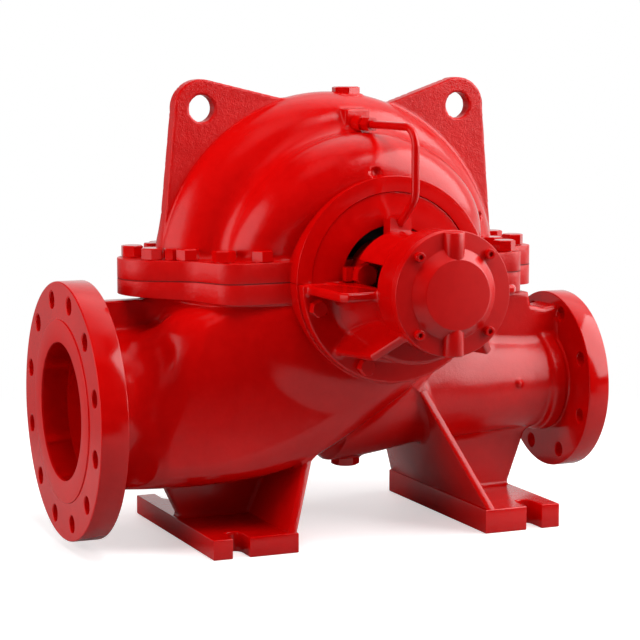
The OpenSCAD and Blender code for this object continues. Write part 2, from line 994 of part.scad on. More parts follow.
// Plug with a round shank of length plug_depth below z = 0 and a square head above
module square_plug() {
    translate([0, 0, -plug_depth])
        cylinder(h = plug_depth + over, r = plug_r);
    translate([-plug_head_w / 2, -plug_head_w / 2, 0])
        cube([plug_head_w, plug_head_w, plug_head_h]);
}

module vent_plug() {
    color([0.72, 0.07, 0.06])
        translate([0, 0, shaft_h + volute_r - volute_shift_z + 2])
            square_plug();
}

module drain_plug() {
    color([0.72, 0.07, 0.06])
        translate([0, 0, pipe_h - 100])
            mirror([0, 0, 1])
                square_plug();
}

// Union fitting on the volute's shoulder that the flush tube starts from
module front_take_off() {
    color([0.70, 0.06, 0.05])
        at_flush()
            difference() {
                translate([0, 0, tube_z]) {
                    bar_front(take_off_y, tube_start_y - 20, 13, 13);
                    bar_front(tube_start_y - 28, tube_start_y, nut_w / 2, nut_w / 2, $fn = 6);
                }
                translate([0, 0, tube_z])
                    bar_front(tube_start_y - 12, tube_start_y + over, tube_r + play, tube_r + play);
            }
}

module rear_take_off() {
    rear()
        front_take_off();
}

// Round bend of the flush tube in its own plane, from angle a0 over angle turn
module tube_elbow(y, z, a0, turn) {
    translate([0, -y, z])
        rotate([0, 0, 90])
            rotate([90, 0, 0])
                rotate([0, 0, a0])
                    rotate_extrude(angle = turn, $fn = tube_x_fn)
                        translate([tube_bend, 0])
                            circle(r = tube_r - 0.2);
}

// Level, upright and slanted runs of the tube with two round bends between them
module front_flush_tube() {
    lap = 2;
    level_end = tube_y - tube_bend;
    down_top = tube_z - tube_bend;
    slant_y = tube_y - tube_bend * (1 - cos(tube_slant));
    slant_run = (slant_y - tube_end_y) / sin(tube_slant);
    knee_z = tube_end_z + slant_run * cos(tube_slant);
    down_end = knee_z + tube_bend * sin(tube_slant);
    color([0.70, 0.06, 0.05])
        at_flush() {
            translate([0, 0, tube_z])
                bar_front(tube_start_y - 12, level_end + lap, tube_r, tube_r, $fn = tube_x_fn);
            tube_elbow(level_end, down_top, 90, 90);
            translate([0, -tube_y, down_end - lap])
                cylinder(h = down_top - down_end + 2 * lap, r = tube_r, $fn = tube_x_fn);
            tube_elbow(level_end, down_end, 180, tube_slant);
            translate([0, -slant_y, knee_z])
                rotate([180 + tube_slant, 0, 0])
                    translate([0, 0, -lap])
                        cylinder(h = slant_run + lap, r = tube_r, $fn = tube_x_fn);
        }
}

module rear_flush_tube() {
    rear()
        front_flush_tube();
}

// Block on the gland that the flush line ends in
module front_flush_elbow() {
    color([0.70, 0.06, 0.05])
        at_flush()
            difference() {
                translate([-elbow_w / 2, -elbow_front_y, gland_r + 0.3])
                    cube([elbow_w, elbow_front_y - elbow_back_y, elbow_top_z - gland_r - 0.3]);
                translate([0, -tube_end_y, tube_end_z])
                    rotate([tube_slant, 0, 0])
                        translate([0, 0, -1])
                            cylinder(h = socket_l, r = tube_r + play);
            }
}

module rear_flush_elbow() {
    rear()
        front_flush_elbow();
}

lower_casing();
upper_casing();
parting_gasket();
front_seal_cover();
rear_seal_cover();
front_bracket();
rear_bracket();
front_bearing();
rear_bearing();
front_bearing_cover();
rear_bearing_cover();
shaft();
shaft_key();
front_sleeve();
rear_sleeve();
front_gland();
rear_gland();
front_deflector();
rear_deflector();
vent_plug();
drain_plug();
front_take_off();
rear_take_off();
front_flush_tube();
rear_flush_tube();
front_flush_elbow();
rear_flush_elbow();
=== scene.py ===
import math

import bmesh
import bpy
import numpy as np
from mathutils import Matrix, Vector


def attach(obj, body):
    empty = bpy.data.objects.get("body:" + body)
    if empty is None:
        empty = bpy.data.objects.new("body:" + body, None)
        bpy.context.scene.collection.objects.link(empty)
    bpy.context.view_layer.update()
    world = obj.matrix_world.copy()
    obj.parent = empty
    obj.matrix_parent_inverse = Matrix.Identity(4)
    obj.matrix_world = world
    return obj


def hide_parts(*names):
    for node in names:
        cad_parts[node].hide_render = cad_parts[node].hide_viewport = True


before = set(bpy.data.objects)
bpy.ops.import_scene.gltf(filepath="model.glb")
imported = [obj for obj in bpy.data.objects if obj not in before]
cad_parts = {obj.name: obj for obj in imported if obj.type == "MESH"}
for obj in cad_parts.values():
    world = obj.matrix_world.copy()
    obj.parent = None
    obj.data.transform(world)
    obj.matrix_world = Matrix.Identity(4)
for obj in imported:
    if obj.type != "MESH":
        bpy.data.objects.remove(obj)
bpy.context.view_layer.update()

# Sizes in millimetres, in the frame of the solids: X from suction to discharge, Y along the shaft, Z up

MM = 0.001
SHAFT_Z = 393.0
PIPE_Z = 202.0

# Casing
VOLUTE_CENTRE = (-31.0, 386.0)
VOLUTE_R = 277.0
VOLUTE_ROUND = 64.0
CHAMBER_X = -16.0
CHAMBER_R = 212.0
CHAMBER_ROUND = 66.0
CHAMBER_Y = 99.0
CHAMBER_DRAW = 32.0
CHAMBER_WAIST = 30.0
RING_R = 152.0
RING_FACE = 171.0
SEAL_R = 128.0
SEAL_BORE_R = 80.0
SEAL_FACE = 169.0
SEAL_FLOOR = 112.0
# How far a casting stays behind the machined faces that cover it
BEHIND = 1.2

# Parting flange
LOWER_FLANGE = (362.25, 392.25)
UPPER_FLANGE = (393.75, 422.75)
NOSE_RISE = 8.0
NOSE_START = -230.0
NOSE_LENGTH = 133.0
# Half the outline, from the discharge nose, as circles (x, y, radius); a hollow edge has a negative radius
HALF_FLANGE = (
    (269.0, 35.0, 27.0),
    (279.0, 107.0, -45.0),
    (209.0, 121.0, 25.0),
    (-220.0, 104.0, 42.0),
    (-318.0, 118.0, -52.0),
    (-305.0, 0.0, 58.0),
)
FLANGE_CIRCLES = HALF_FLANGE + tuple((x, -y, r) for x, y, r in reversed(HALF_FLANGE) if y)

# Nozzles: places of the raised face and the flange's back, radii, bolt circle, and number and size of holes
SUCTION = dict(
    face=-455.0, back=-412.1, rim=190.5, bore=101.6, raised=134.95, pipe=118.0,
    pcd=330.2, holes=12, hole=25.4,
)
DISCHARGE = dict(
    face=388.0, back=351.5, rim=139.7, bore=63.5, raised=92.85, pipe=75.0,
    pcd=235.0, holes=8, hole=22.2,
)
RAISED_H = 1.6

# Suction passage: a ridge (x, y) beside the nozzle, the floor's arc (x, z, radius), and the slopes above them
BELLY_RIDGE = (-347.0, 134.0)
BELLY_ARC = (-315.0, 577.0, 500.0)
BELLY_FLOOR = 91.0
BELLY_END = 70.0
FRONT_WALL = (-345.0, 136.0)
FRONT_SPREAD = 0.085
SHOULDER = (-324.0, 334.0)
SHOULDER_FALL = 0.80
FACET = (-303.0, 120.0, 330.0)
SUCTION_RIB_END = -289.0
NECK_END = -220.0
SUCTION_BORE_END = -335.0
POCKET = (-300.0, 48.0)

# Discharge passage, with the upright web between it and the parting flange as (x, z) points
PIPE_SPREAD = 18.0
PIPE_START = -30.0
COLLAR_X = (322.0, 346.0)
DISCHARGE_BORE_END = 163.0
DISCHARGE_WEB = [
    (150, 202), (356, 202), (356, 324), (330, 319), (306, 325),
    (301, 347), (262, 350), (256, 372), (150, 372),
]
DISCHARGE_WEB_HALF = 34.0
PIPE_BUMP = (262.0, -76.0, 209.0)
PIPE_BUMP_R = 6.0

# Bosses for the vent plug above and the drain plug below
VENT_BOSS_R = 25.0
VENT_BOSS_TOP = 659.0
DRAIN_BOSS_R = 24.0
DRAIN_BOSS_Z = (102.0, 150.0)
VENT_PLUG_Z = 653.0
DRAIN_PLUG_Z = 106.0

# Small holes in each shoulder of the upper casing: place on the front one and radius
SHOULDER_HOLES = ((-24, -163, 550, 8), (203, -53, 471, 6))

# Feet
FOOT_INNER = {-1: 150.0, 1: 156.0}
FOOT_OUTER = 282.0
FOOT_Y = 172.0
FOOT_TOP = {-1: 30.0, 1: 37.0}
FOOT_WALL = 14.0
# Leaning walls on the feet: how fast they draw in along X and Y with height
WALL_LEAN = (0.44, 0.46)
WALL_TOP = 250.0
SLOT_X = 239.0
SLOT_W = 26.0
SLOT_DEPTH = 46.0
SLOT_STEPS = 12
# Webs between the feet and the passages, as (x, z) points
SUCTION_WEB = [(-162, 20), (-273, 20), (-277, 36), (-304, 92), (-304, 160), (-120, 190), (-118, 130)]
OUTLET_WEB = [(168, 20), (273, 20), (276, 36), (312, 133), (306, 170), (120, 200), (128, 130)]
RIB_HALF = 13.0

# Lifting lugs: the hole's place and the reach at the flange along X, and the sizes and paint that both share
LUG_LEFT = (-236.0, -300.0)
LUG_RIGHT = (184.0, 244.0)
LUG_Z = 640.0
LUG_HOLE_R = 20.0
LUG_OUTER_R = 43.0
LUG_HALF = 12.0
LUG_GRAIN = 0.38
LUG_DULL = 0.22
LUG_ROOT = 60.0

# Flush tubes turn aside about an upright line
FLUSH_PIVOT = (6.0, 232.0)
FLUSH_TURN = 5.8
PAD_HALF = 21.0
PAD_Z = (599.0, 639.0)
PAD_REACH = (33.0, 67.0)

# Bearing brackets, distances from the middle of the pump
BRACKET_R = 150.0
BRACKET_Y = (171.0, 189.0)
BARREL_R = 75.0
BARREL_Y = (194.0, 300.0)
HEAD_R = 86.0
HEAD_END = 352.0
CAVITY_R = 65.0
BASIN_R = 114.0
BASIN_END = 264.0
RIB_TURN = 46.0
ARM_T = 14.0
WINDOW_X = (25.0, 100.0)
WINDOW_Y = (180.0, 286.0)
WINDOW_H = (1.0, 33.0)
COVER_R = 88.0
COVER_FACE = 367.0
HUB_FACE = 382.0
HUB_R = 49.0
HUB_FOOT_R = 64.0
BOSS_R = 15.0
BOSS_L = 40.0
BOSS_RISE = 66.0
SHAFT_HOLE_R = 26.5

# Fasteners: parting bolts by place, cover screws, bracket screws and gland studs by distance from the shaft
NOSE_BOLTS = ((-335, 22), (-322, -30))
PARTING_BOLTS = ((-278, 62), (-240, 110), (-187, 128), (209, 121), (217, 66), (269, 35))
JACK_SCREWS = (-298, 46)
COVER_SCREW_R = 76.0
BRACKET_SCREW_R = 133.0
BRACKET_SCREWS = ((-1, 14.6), (-1, 66.3), (1, 14.6))
GLAND_STUD = (57.0, 405.0)
GLAND_NUT_Y = 190.0


# Distance functions, negative inside, for castings with rounded edges and filleted joints

def blend(a, b, r):
    """Union of two shapes with a fillet of radius r."""
    return np.maximum(r, np.minimum(a, b)) - np.hypot(np.maximum(r - a, 0), np.maximum(r - b, 0))


def trim(a, b, r):
    """Common part of two shapes with its edge rounded to radius r."""
    return np.minimum(-r, np.maximum(a, b)) + np.hypot(np.maximum(r + a, 0), np.maximum(r + b, 0))


def carve(a, b, r):
    """Shape a without shape b, with the edge rounded to radius r."""
    return trim(a, -b, r)


def slab(v, low, high):
    return np.maximum(low - v, v - high)


def outline(u, v, points):
    """Distance to a closed outline in a plane."""
    best = np.inf
    inside = False
    for (ax, ay), (bx, by) in zip(points, points[1:] + points[:1]):
        ex, ey = bx - ax, by - ay
        t = np.clip(((u - ax) * ex + (v - ay) * ey) / (ex * ex + ey * ey), 0, 1)
        best = np.minimum(best, (u - ax - ex * t) ** 2 + (v - ay - ey * t) ** 2)
        if ey:
            inside = inside ^ (((ay <= v) != (by <= v)) & (u < ax + ex * (v - ay) / ey))
    return np.where(inside, -1, 1) * np.sqrt(best)


def surface(distance, low, high, step):
    """Quads on the zero level of a distance function inside a box, pulled onto it, with its normals."""
    axes = [np.arange(a, b + step, step) for a, b in zip(low, high)]
    shape = tuple(len(a) for a in axes)
    x, y, z = np.meshgrid(*axes, indexing="ij", sparse=True)
    field = np.broadcast_to(distance(x, y, z), shape)
    count = np.zeros(math.prod(shape))
    total = np.zeros((3, len(count)))
    rings = []
    for axis in range(3):
        near = field.take(range(shape[axis] - 1), axis)
        far = field.take(range(1, shape[axis]), axis)
        index = np.argwhere((near < 0) != (far < 0))
        a, b = near[tuple(index.T)], far[tuple(index.T)]
        place = index.astype(float)
        place[:, axis] += a / (a - b)
        u, v = (axis + 1) % 3, (axis + 2) % 3
        inner = ((index[:, [u, v]] > 0) & (index[:, [u, v]] < np.array(shape)[[u, v]] - 1)).all(1)
        index, place, a = index[inner], place[inner], a[inner]
        ring = []
        for du, dv in ((0, 0), (1, 0), (1, 1), (0, 1)):
            cell = index.copy()
            cell[:, u] -= du
            cell[:, v] -= dv
            flat = np.ravel_multi_index(tuple(cell.T), shape)
            count += np.bincount(flat, minlength=len(count))
            for k in range(3):
                total[k] += np.bincount(flat, place[:, k], len(count))
            ring.append(flat)
        ring = np.stack(ring, 1)
        rings.append(np.where((a < 0)[:, None], ring, ring[:, ::-1]))
    used = np.flatnonzero(count)
    number = np.zeros(len(count), int)
    number[used] = np.arange(len(used))
    faces = number[np.concatenate(rings)]
    points = (total[:, used] / count[used]).T * step + np.array(low)
    for _ in range(3):
        value, normal = slope(distance, points)
        points -= np.clip(value, -step / 2, step / 2)[:, None] * normal
    return points, faces, slope(distance, points)[1]


def slope(distance, points, h=0.4):
    """Distance and unit normal at points."""
    x, y, z = points.T
    gradient = np.stack([
        distance(x + h, y, z) - distance(x - h, y, z),
        distance(x, y + h, z) - distance(x, y - h, z),
        distance(x, y, z + h) - distance(x, y, z - h),
    ], 1)
    length = np.maximum(np.linalg.norm(gradient, axis=1), 1e-6)
    return distance(x, y, z) / np.maximum(length / (2 * h), 0.3), gradient / length[:, None]


# Outlines

def leave(a, b):
    """Angle of the outward normal where an edge leaves circle a for circle b."""
    dx, dy = b[0] - a[0], b[1] - a[1]
    s = (a[2] - b[2]) / math.hypot(dx, dy)
    c = math.sqrt(1 - s * s)
    return math.atan2(dy * s - dx * c, dx * s + dy * c)


def belt(circles, steps=8):
    """Closed outline that runs counter-clockwise round circles, hollow where a radius is negative."""
    points = []
    for i, circle in enumerate(circles):
        x, y, r = circle
        start = leave(circles[i - 1], circle)
        turn = (leave(circle, circles[(i + 1) % len(circles)]) - start) % math.tau
        turn = turn if r > 0 else turn - math.tau
        for k in range(steps + 1):
            angle = start + turn * k / steps
            points.append((x + r * math.cos(angle), y + r * math.sin(angle)))
    return points


def circle_points(x, y, r, count=64):
    angles = [math.tau * i / count for i in range(count)]
    return [(x + r * math.cos(angle), y + r * math.sin(angle)) for angle in angles]


def softened(points, radius, steps=4, closed=True):
    """Outline with each corner cut by a small arc."""
    result = []
    last = len(points) - 1
    for i, point in enumerate(points):
        if not closed and i in (0, last):
            result.append(point)
            continue
        here = Vector(point)
        before = Vector(points[i - 1]) - here
        after = Vector(points[(i + 1) % len(points)]) - here
        reach = min(radius, before.length * 0.45, after.length * 0.45)
        start, end = here + before.normalized() * reach, here + after.normalized() * reach
        for k in range(steps + 1):
            t = k / steps
            result.append(tuple(start * (1 - t) ** 2 + here * 2 * t * (1 - t) + end * t * t))
    return result


FLANGE_OUTLINE = belt(FLANGE_CIRCLES, steps=6)


# Casting shapes

def volute(x, y, z):
    r = np.hypot(x - VOLUTE_CENTRE[0], z - VOLUTE_CENTRE[1])
    return np.hypot(np.maximum(r - VOLUTE_R + VOLUTE_ROUND, 0), y) - VOLUTE_ROUND


def chamber(x, y, z):
    """Suction chamber round each shaft end, drawn in at the parting flange and above the discharge."""
    dx, dz = x - CHAMBER_X, z - SHAFT_Z
    r = np.hypot(dx, dz)
    waist = CHAMBER_WAIST * np.exp(-((dz / 90) ** 2))
    over = np.maximum(np.abs(y) - CHAMBER_Y + waist, 0)
    draw = CHAMBER_DRAW * (np.maximum(0.64 * dx - 0.77 * dz, 0) / np.maximum(r, 1)) ** 2
    return np.hypot(np.maximum(r - CHAMBER_R + draw + CHAMBER_ROUND, 0), over) - CHAMBER_ROUND


def end_ring(x, y, z):
    """Core of the end rings, hidden behind the turned ones."""
    r = np.hypot(x, z - SHAFT_Z)
    return np.maximum(r - RING_R + 8, np.abs(y) - RING_FACE + 6)


def casing_body(x, y, z):
    return blend(blend(volute(x, y, z), chamber(x, y, z), 24), end_ring(x, y, z), 3)


def seal_bore(x, y, z):
    return np.maximum(np.hypot(x, z - SHAFT_Z) - SEAL_R - 2, SEAL_FLOOR - 4 - np.abs(y))


def flange_plate(x, y):
    return outline(x, y, FLANGE_OUTLINE) + BEHIND


def flange_underside(x):
    """Height of the lower flange's underside, which rises towards the suction nose."""
    return LOWER_FLANGE[0] + NOSE_RISE * np.clip((NOSE_START - x) / NOSE_LENGTH, 0, 1)


def suction_passage(x, y, z):
    """Neck of the suction nozzle and the two bellies that lead round the volute to the shaft ends."""
    ya = np.abs(y)
    lean = 0.0012 * np.maximum(z - 240, 0) ** 2
    front = (ya - FRONT_WALL[1] - FRONT_SPREAD * (x - FRONT_WALL[0]) + lean) / 1.02
    arc_x, arc_z, arc_r = BELLY_ARC
    floor = np.hypot(x - arc_x, z - arc_z) - arc_r
    flare = -0.76 * (x - BELLY_RIDGE[0]) + 0.65 * (ya - BELLY_RIDGE[1])
    dip = 26 * np.exp(-((y / 48) ** 2))
    shoulder = ((z - SHOULDER[1] + dip) - SHOULDER_FALL * (x - SHOULDER[0])) / 1.28
    tuck = (flange_plate(x, y) + 7 - 2.2 * np.maximum(358 - z, 0)) / 2.4
    facet = 0.32 * (z - FACET[2]) - 0.82 * (x - FACET[0]) + 0.47 * (ya - FACET[1])
    belly = trim(trim(front, floor, 60), np.maximum(BELLY_FLOOR - z, x - BELLY_END), 30)
    for face, rounding in ((shoulder, 45), (facet, 20), (flare, 9), (tuck, 16)):
        belly = trim(belly, face, rounding)
    neck = np.maximum(np.hypot(y, z - PIPE_Z) - SUCTION["pipe"] + 5, x - NECK_END)
    rib = np.maximum(np.maximum(ya - RIB_HALF, x - SUCTION_RIB_END), PIPE_Z - z)
    rib = trim(rib, z - 362, 3)
    return blend(blend(belly, neck, 28), rib, 14)


def suction_bore(x, y, z):
    """Bore of the suction nozzle with a pocket either side of the splitter at its end."""
    rise = np.abs(z - PIPE_Z)
    pocket_r = 50 - 30 * np.clip((rise - 34) / 42, 0, 1)
    pocket = np.maximum(np.hypot(x - POCKET[0], np.abs(y) - POCKET[1]) - pocket_r, rise - 76) * 0.8
    bore = np.maximum(np.hypot(y, z - PIPE_Z) - SUCTION["bore"], x - SUCTION_BORE_END)
    return blend(bore, pocket, 8)


def discharge_passage(x, y, z):
    """Discharge pipe, wider towards the volute, with a collar before its flange."""
    r = np.hypot(y, z - PIPE_Z)
    wide = PIPE_SPREAD * np.clip((290 - x) / 290, 0, 1.1)
    pipe = np.maximum(r - DISCHARGE["pipe"] - wide, PIPE_START - x)
    collar = trim(r - DISCHARGE["pipe"] - 6, slab(x, *COLLAR_X), 5)
    return blend(pipe, collar, 5)


def wall_at(z, side):
    """Inner face and half width of a foot's wall at a height."""
    rise = z - FOOT_TOP[side]
    return FOOT_INNER[side] + 2 - WALL_LEAN[0] * rise, FOOT_Y - 1 - WALL_LEAN[1] * rise


def foot_core(x, y, z, side):
    """One foot inside its plate and its wall, with its web, clear of the slots."""
    xa, ya, top = side * x, np.abs(y), FOOT_TOP[side]
    face, half = wall_at(np.maximum(z, top), side)
    wall = np.maximum(slab(xa, face + 2, face + FOOT_WALL - 2) / 1.09, (ya - half + 3) / 1.1)
    wall = np.maximum(wall, z - WALL_TOP)
    plate = slab(xa, FOOT_INNER[side] + BEHIND, FOOT_OUTER - BEHIND)
    plate = np.maximum(plate, np.maximum(ya - FOOT_Y, z - top) + BEHIND)
    web = trim(outline(x, z, SUCTION_WEB if side < 0 else OUTLET_WEB), ya - RIB_HALF, 5)
    slot_y = FOOT_Y - SLOT_DEPTH + SLOT_W / 2
    slot = np.hypot(xa - SLOT_X, np.minimum(ya - slot_y, 0)) - SLOT_W / 2 - BEHIND
    return np.maximum(blend(np.minimum(wall, plate), web, 8), -np.maximum(slot, z - top - 20))


def feet(x, y, z):
    return np.minimum(foot_core(x, y, z, -1), foot_core(x, y, z, 1))


def hole_free(nozzle):
    """Radius inside a nozzle flange's bolt holes."""
    return (nozzle["pcd"] - nozzle["hole"]) / 2 - 6


def ball(x, y, z, centre, r):
    return np.sqrt((x - centre[0]) ** 2 + (y - centre[1]) ** 2 + (z - centre[2]) ** 2) - r


def lower_casting(x, y, z):
    """Lower half of the casing with both nozzles and the feet; each blend names its fillet."""
    r = np.hypot(y, z - PIPE_Z)
    body = casing_body(x, y, z)
    for shape, fillet in (
        (suction_passage(x, y, z), 26),
        (discharge_passage(x, y, z), 30),
        (trim(outline(x, z, DISCHARGE_WEB), np.abs(y) - DISCHARGE_WEB_HALF, 7), 9),
        (feet(x, y, z), 11),
        (np.maximum(r - hole_free(SUCTION), x - SUCTION["back"] + BEHIND), 13),
        (np.maximum(r - hole_free(DISCHARGE), DISCHARGE["back"] + BEHIND - x), 9),
        (np.maximum(flange_plate(x, y), flange_underside(x) + BEHIND - z), 8),
        (np.maximum(np.hypot(x, y) - DRAIN_BOSS_R, slab(z, *DRAIN_BOSS_Z)), 6),
        (ball(x, y, z, PIPE_BUMP, PIPE_BUMP_R), 3),
    ):
        body = blend(body, shape, fillet)
    body = carve(body, suction_bore(x, y, z), 4)
    body = carve(body, np.maximum(r - DISCHARGE["bore"], DISCHARGE_BORE_END - x), 4)
    return np.maximum(body, -seal_bore(x, y, z))


def lug_plate(x, z, lug, side):
    """Flat lug with a round head, straight at its outer edge and sloping towards the volute."""
    hx, reach = lug
    points = [
        (side * LUG_ROOT, 400),
        (reach, 400),
        (reach, 424),
        (hx + side * LUG_OUTER_R, LUG_Z - 4),
        (hx, LUG_Z),
        (hx - side * 11, LUG_Z + LUG_OUTER_R - 1.5),
        (side * LUG_ROOT, LUG_Z + 2),
    ]
    return np.minimum(outline(x, z, points), np.hypot(x - hx, z - LUG_Z) - LUG_OUTER_R)


def take_off_pad(x, y, z):
    """Square seat on each shoulder of the volute for the flush tube's union."""
    turn = math.radians(FLUSH_TURN)
    dx, dy = x - FLUSH_PIVOT[0], FLUSH_PIVOT[1] - np.abs(y)
    across = dx * math.cos(turn) + dy * math.sin(turn)
    ahead = FLUSH_PIVOT[1] + dx * math.sin(turn) - dy * math.cos(turn)
    return trim(trim(np.abs(across) - PAD_HALF, slab(z, *PAD_Z), 4), slab(ahead, *PAD_REACH), 2.5)


def shoulder_holes(x, y, z):
    front = -np.abs(y)
    return np.minimum.reduce([ball(x, front, z, (hx, hy, hz), r) for hx, hy, hz, r in SHOULDER_HOLES])


def upper_casting(x, y, z):
    """Upper half of the casing with its lugs, vent boss and seats for the flush line."""
    body = casing_body(x, y, z)
    body = blend(body, np.maximum(flange_plate(x, y), z - UPPER_FLANGE[1] + BEHIND), 12)
    lugs = np.minimum(lug_plate(x, z, LUG_LEFT, -1), lug_plate(x, z, LUG_RIGHT, 1))
    holes = np.minimum(np.hypot(x - LUG_LEFT[0], z - LUG_Z), np.hypot(x - LUG_RIGHT[0], z - LUG_Z))
    lugs = carve(trim(lugs, np.abs(y) - LUG_HALF, 2), holes - LUG_HOLE_R, 2.5)
    body = blend(body, lugs, 5)
    body = blend(body, trim(np.hypot(x, y) - VENT_BOSS_R, z - VENT_BOSS_TOP, 2), 4)
    body = blend(body, take_off_pad(x, y, z), 4)
    body = np.maximum(body, -shoulder_holes(x, y, z))
    return np.maximum(body, -seal_bore(x, y, z))


def bracket_casting(x, y, z):
    """Front bearing bracket, with distances to the front taken as positive."""
    xa, f, h = np.abs(x), -y, z - SHAFT_Z
    r = np.hypot(x, h)
    flange = trim(trim(r - BRACKET_R, slab(f, *BRACKET_Y), 3), h, 3)
    flare = 33 * np.clip((262 - f) / 73, 0, 1) ** 1.6
    trough = np.maximum(np.maximum(r - BARREL_R + 0.5 - flare, slab(f, 176, 290)) * 0.85, h)
    barrel = trim(r - BARREL_R, slab(f, BARREL_Y[0], 320), 3)
    head = trim(r - HEAD_R, slab(f, BARREL_Y[1], HEAD_END), 3)
    arm = outline(xa, f, [(60, 178), (144, 178), (138, 292), (130, 302), (60, 302)])
    arm = trim(arm, slab(h, -ARM_T, 0), 5)
    turn = math.radians(RIB_TURN)
    along = xa * math.cos(turn) - h * math.sin(turn)
    across = xa * math.sin(turn) + h * math.cos(turn)
    rib = outline(along, f, [(60, 178), (142, 178), (132, 300), (84, 342), (60, 342)])
    rib = trim(rib, np.abs(across) - 6.5, 4.5)
    basin = np.maximum(trim(r - BASIN_R, slab(f, 176, BASIN_END), 7), across)
    body = blend(blend(np.minimum(barrel, trough), head, 3), arm, 7)
    body = blend(blend(blend(body, basin, 5), rib, 6), flange, 6)
    body = carve(body, np.maximum(r - CAVITY_R, f - 298), 3)
    window = np.maximum(slab(xa, *WINDOW_X), np.maximum(slab(f, *WINDOW_Y), slab(h, *WINDOW_H)))
    return carve(body, window, 3)


# Mesh pieces

def add_piece(name, points, faces, normals=None, angle=None, mirror=False):
    """Object at the origin from points in millimetres; mirrored pieces go to the drive end."""
    points = np.array(points, float) * MM
    faces = [list(f) for f in faces]
    if mirror:
        points[:, 1] *= -1
        faces = [f[::-1] for f in faces]
    mesh = bpy.data.meshes.new(name)
    mesh.from_pydata(points.tolist(), [], faces)
    mesh.shade_smooth()
    if angle is not None:
        mesh.set_sharp_from_angle(angle=math.radians(angle))
    if normals is not None:
        normals = np.array(normals, float)
        if mirror:
            normals[:, 1] *= -1
        mesh.normals_split_custom_set_from_vertices(normals.tolist())
    piece = bpy.data.objects.new(name, mesh)
    bpy.context.collection.objects.link(piece)
    return piece


def finish_piece(piece, material, slot, *nodes):
    piece.data.materials.clear()
    piece.data.materials.append(material)
    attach(piece, "root")
    if nodes:
        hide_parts(*nodes)
    return piece


def lathe(profile, count=128, start=0.0, sweep=360.0):
    """Points and faces of a profile of (distance, radius) pairs turned about the first axis."""
    whole = sweep == 360.0
    columns = count if whole else count + 1
    points, faces = [], []
    for i in range(columns):
        angle = math.radians(start + sweep * i / count)
        points += [(d, r * math.cos(angle), r * math.sin(angle)) for d, r in profile]
    size = len(profile)
    for i in range(count):
        a, b = i * size, (i + 1) % columns * size
        faces += [(a + k, a + k + 1, b + k + 1, b + k) for k in range(size - 1)]
    return points, faces


def shaft_lathe(profile, count=128, start=0.0, sweep=360.0):
    """Lathe about the shaft, distances counted towards the front."""
    points, faces = lathe(profile, count, start, sweep)
    return [(u, -d, SHAFT_Z + v) for d, u, v in points], [f[::-1] for f in faces]


def plate(name, loops, thickness, bevel, place):
    """Flat plate from an outer loop and holes in its own plane, with rounded edges."""
    curve = bpy.data.curves.new(name, "CURVE")
    curve.dimensions = "2D"
    curve.fill_mode = "BOTH"
    curve.extrude = (thickness / 2 - bevel) * MM
    curve.bevel_depth = bevel * MM
    curve.bevel_resolution = 2
    curve.offset = -bevel * MM
    for loop in loops:
        spline = curve.splines.new("POLY")
        spline.points.add(len(loop) - 1)
        for point, (u, v) in zip(spline.points, loop):
            point.co = (u * MM, v * MM, 0, 1)
        spline.use_cyclic_u = True
    source = bpy.data.objects.new(name, curve)
    mesh = bpy.data.meshes.new_from_object(source)
    bpy.data.objects.remove(source)
    mesh.transform(place)
    form = bmesh.new()
    form.from_mesh(mesh)
    bmesh.ops.remove_doubles(form, verts=form.verts, dist=0.00001)
    bmesh.ops.recalc_face_normals(form, faces=form.faces)
    form.to_mesh(mesh)
    form.free()
    mesh.shade_smooth()
    mesh.set_sharp_from_angle(angle=math.radians(35))
    across = place.to_3x3() @ Vector((0, 0, 1))
    for polygon in mesh.polygons:
        polygon.use_smooth = abs(polygon.normal.dot(across)) < 0.9999
    piece = bpy.data.objects.new(name, mesh)
    bpy.context.collection.objects.link(piece)
    return piece


def head_object(name, form):
    """Object from a finished bmesh, smooth but for its sharper edges."""
    mesh = bpy.data.meshes.new(name)
    form.to_mesh(mesh)
    form.free()
    mesh.shade_smooth()
    mesh.set_sharp_from_angle(angle=math.radians(25))
    return bpy.data.objects.new(name, mesh)


def level_place(z):
    return Matrix.Translation((0, 0, z * MM))


def cross_place(x):
    """Plate plane turned to face along X, its own axes running along Y and Z."""
    turned = Matrix(((0, 0, 1, 0), (1, 0, 0, 0), (0, 1, 0, 0), (0, 0, 0, 1)))
    return Matrix.Translation((x * MM, 0, PIPE_Z * MM)) @ turned


# Shader building

class Value:
    """Shader socket that takes part in sums and products."""

    def __init__(self, tree, socket):
        self.tree = tree
        self.socket = socket

    def math(self, operation, *others):
        step = self.tree.nodes.new("ShaderNodeMath")
        step.operation = operation
        for slot, item in zip(step.inputs, (self, *others)):
            connect(self.tree, item, slot)
        return Value(self.tree, step.outputs[0])

    def __add__(self, other):
        return self.math("ADD", other)

    def __sub__(self, other):
        return self.math("SUBTRACT", other)

    def __mul__(self, other):
        return self.math("MULTIPLY", other)

    def length(self):
        step = self.tree.nodes.new("ShaderNodeVectorMath")
        step.operation = "LENGTH"
        connect(self.tree, self, step.inputs[0])
        return Value(self.tree, step.outputs["Value"])

    def along(self, direction):
        """Share of a vector along a direction."""
        step = self.tree.nodes.new("ShaderNodeVectorMath")
        step.operation = "DOT_PRODUCT"
        connect(self.tree, self, step.inputs[0])
        connect(self.tree, direction, step.inputs[1])
        return Value(self.tree, step.outputs["Value"])

    def clamp(self, low, high):
        return self.math("MAXIMUM", low).math("MINIMUM", high)

    def ramp(self, low, high):
        """Smooth step from 0 at low to 1 at high."""
        step = self.tree.nodes.new("ShaderNodeMapRange")
        step.interpolation_type = "SMOOTHSTEP"
        connect(self.tree, self, step.inputs["Value"])
        step.inputs["From Min"].default_value = low
        step.inputs["From Max"].default_value = high
        return Value(self.tree, step.outputs["Result"])


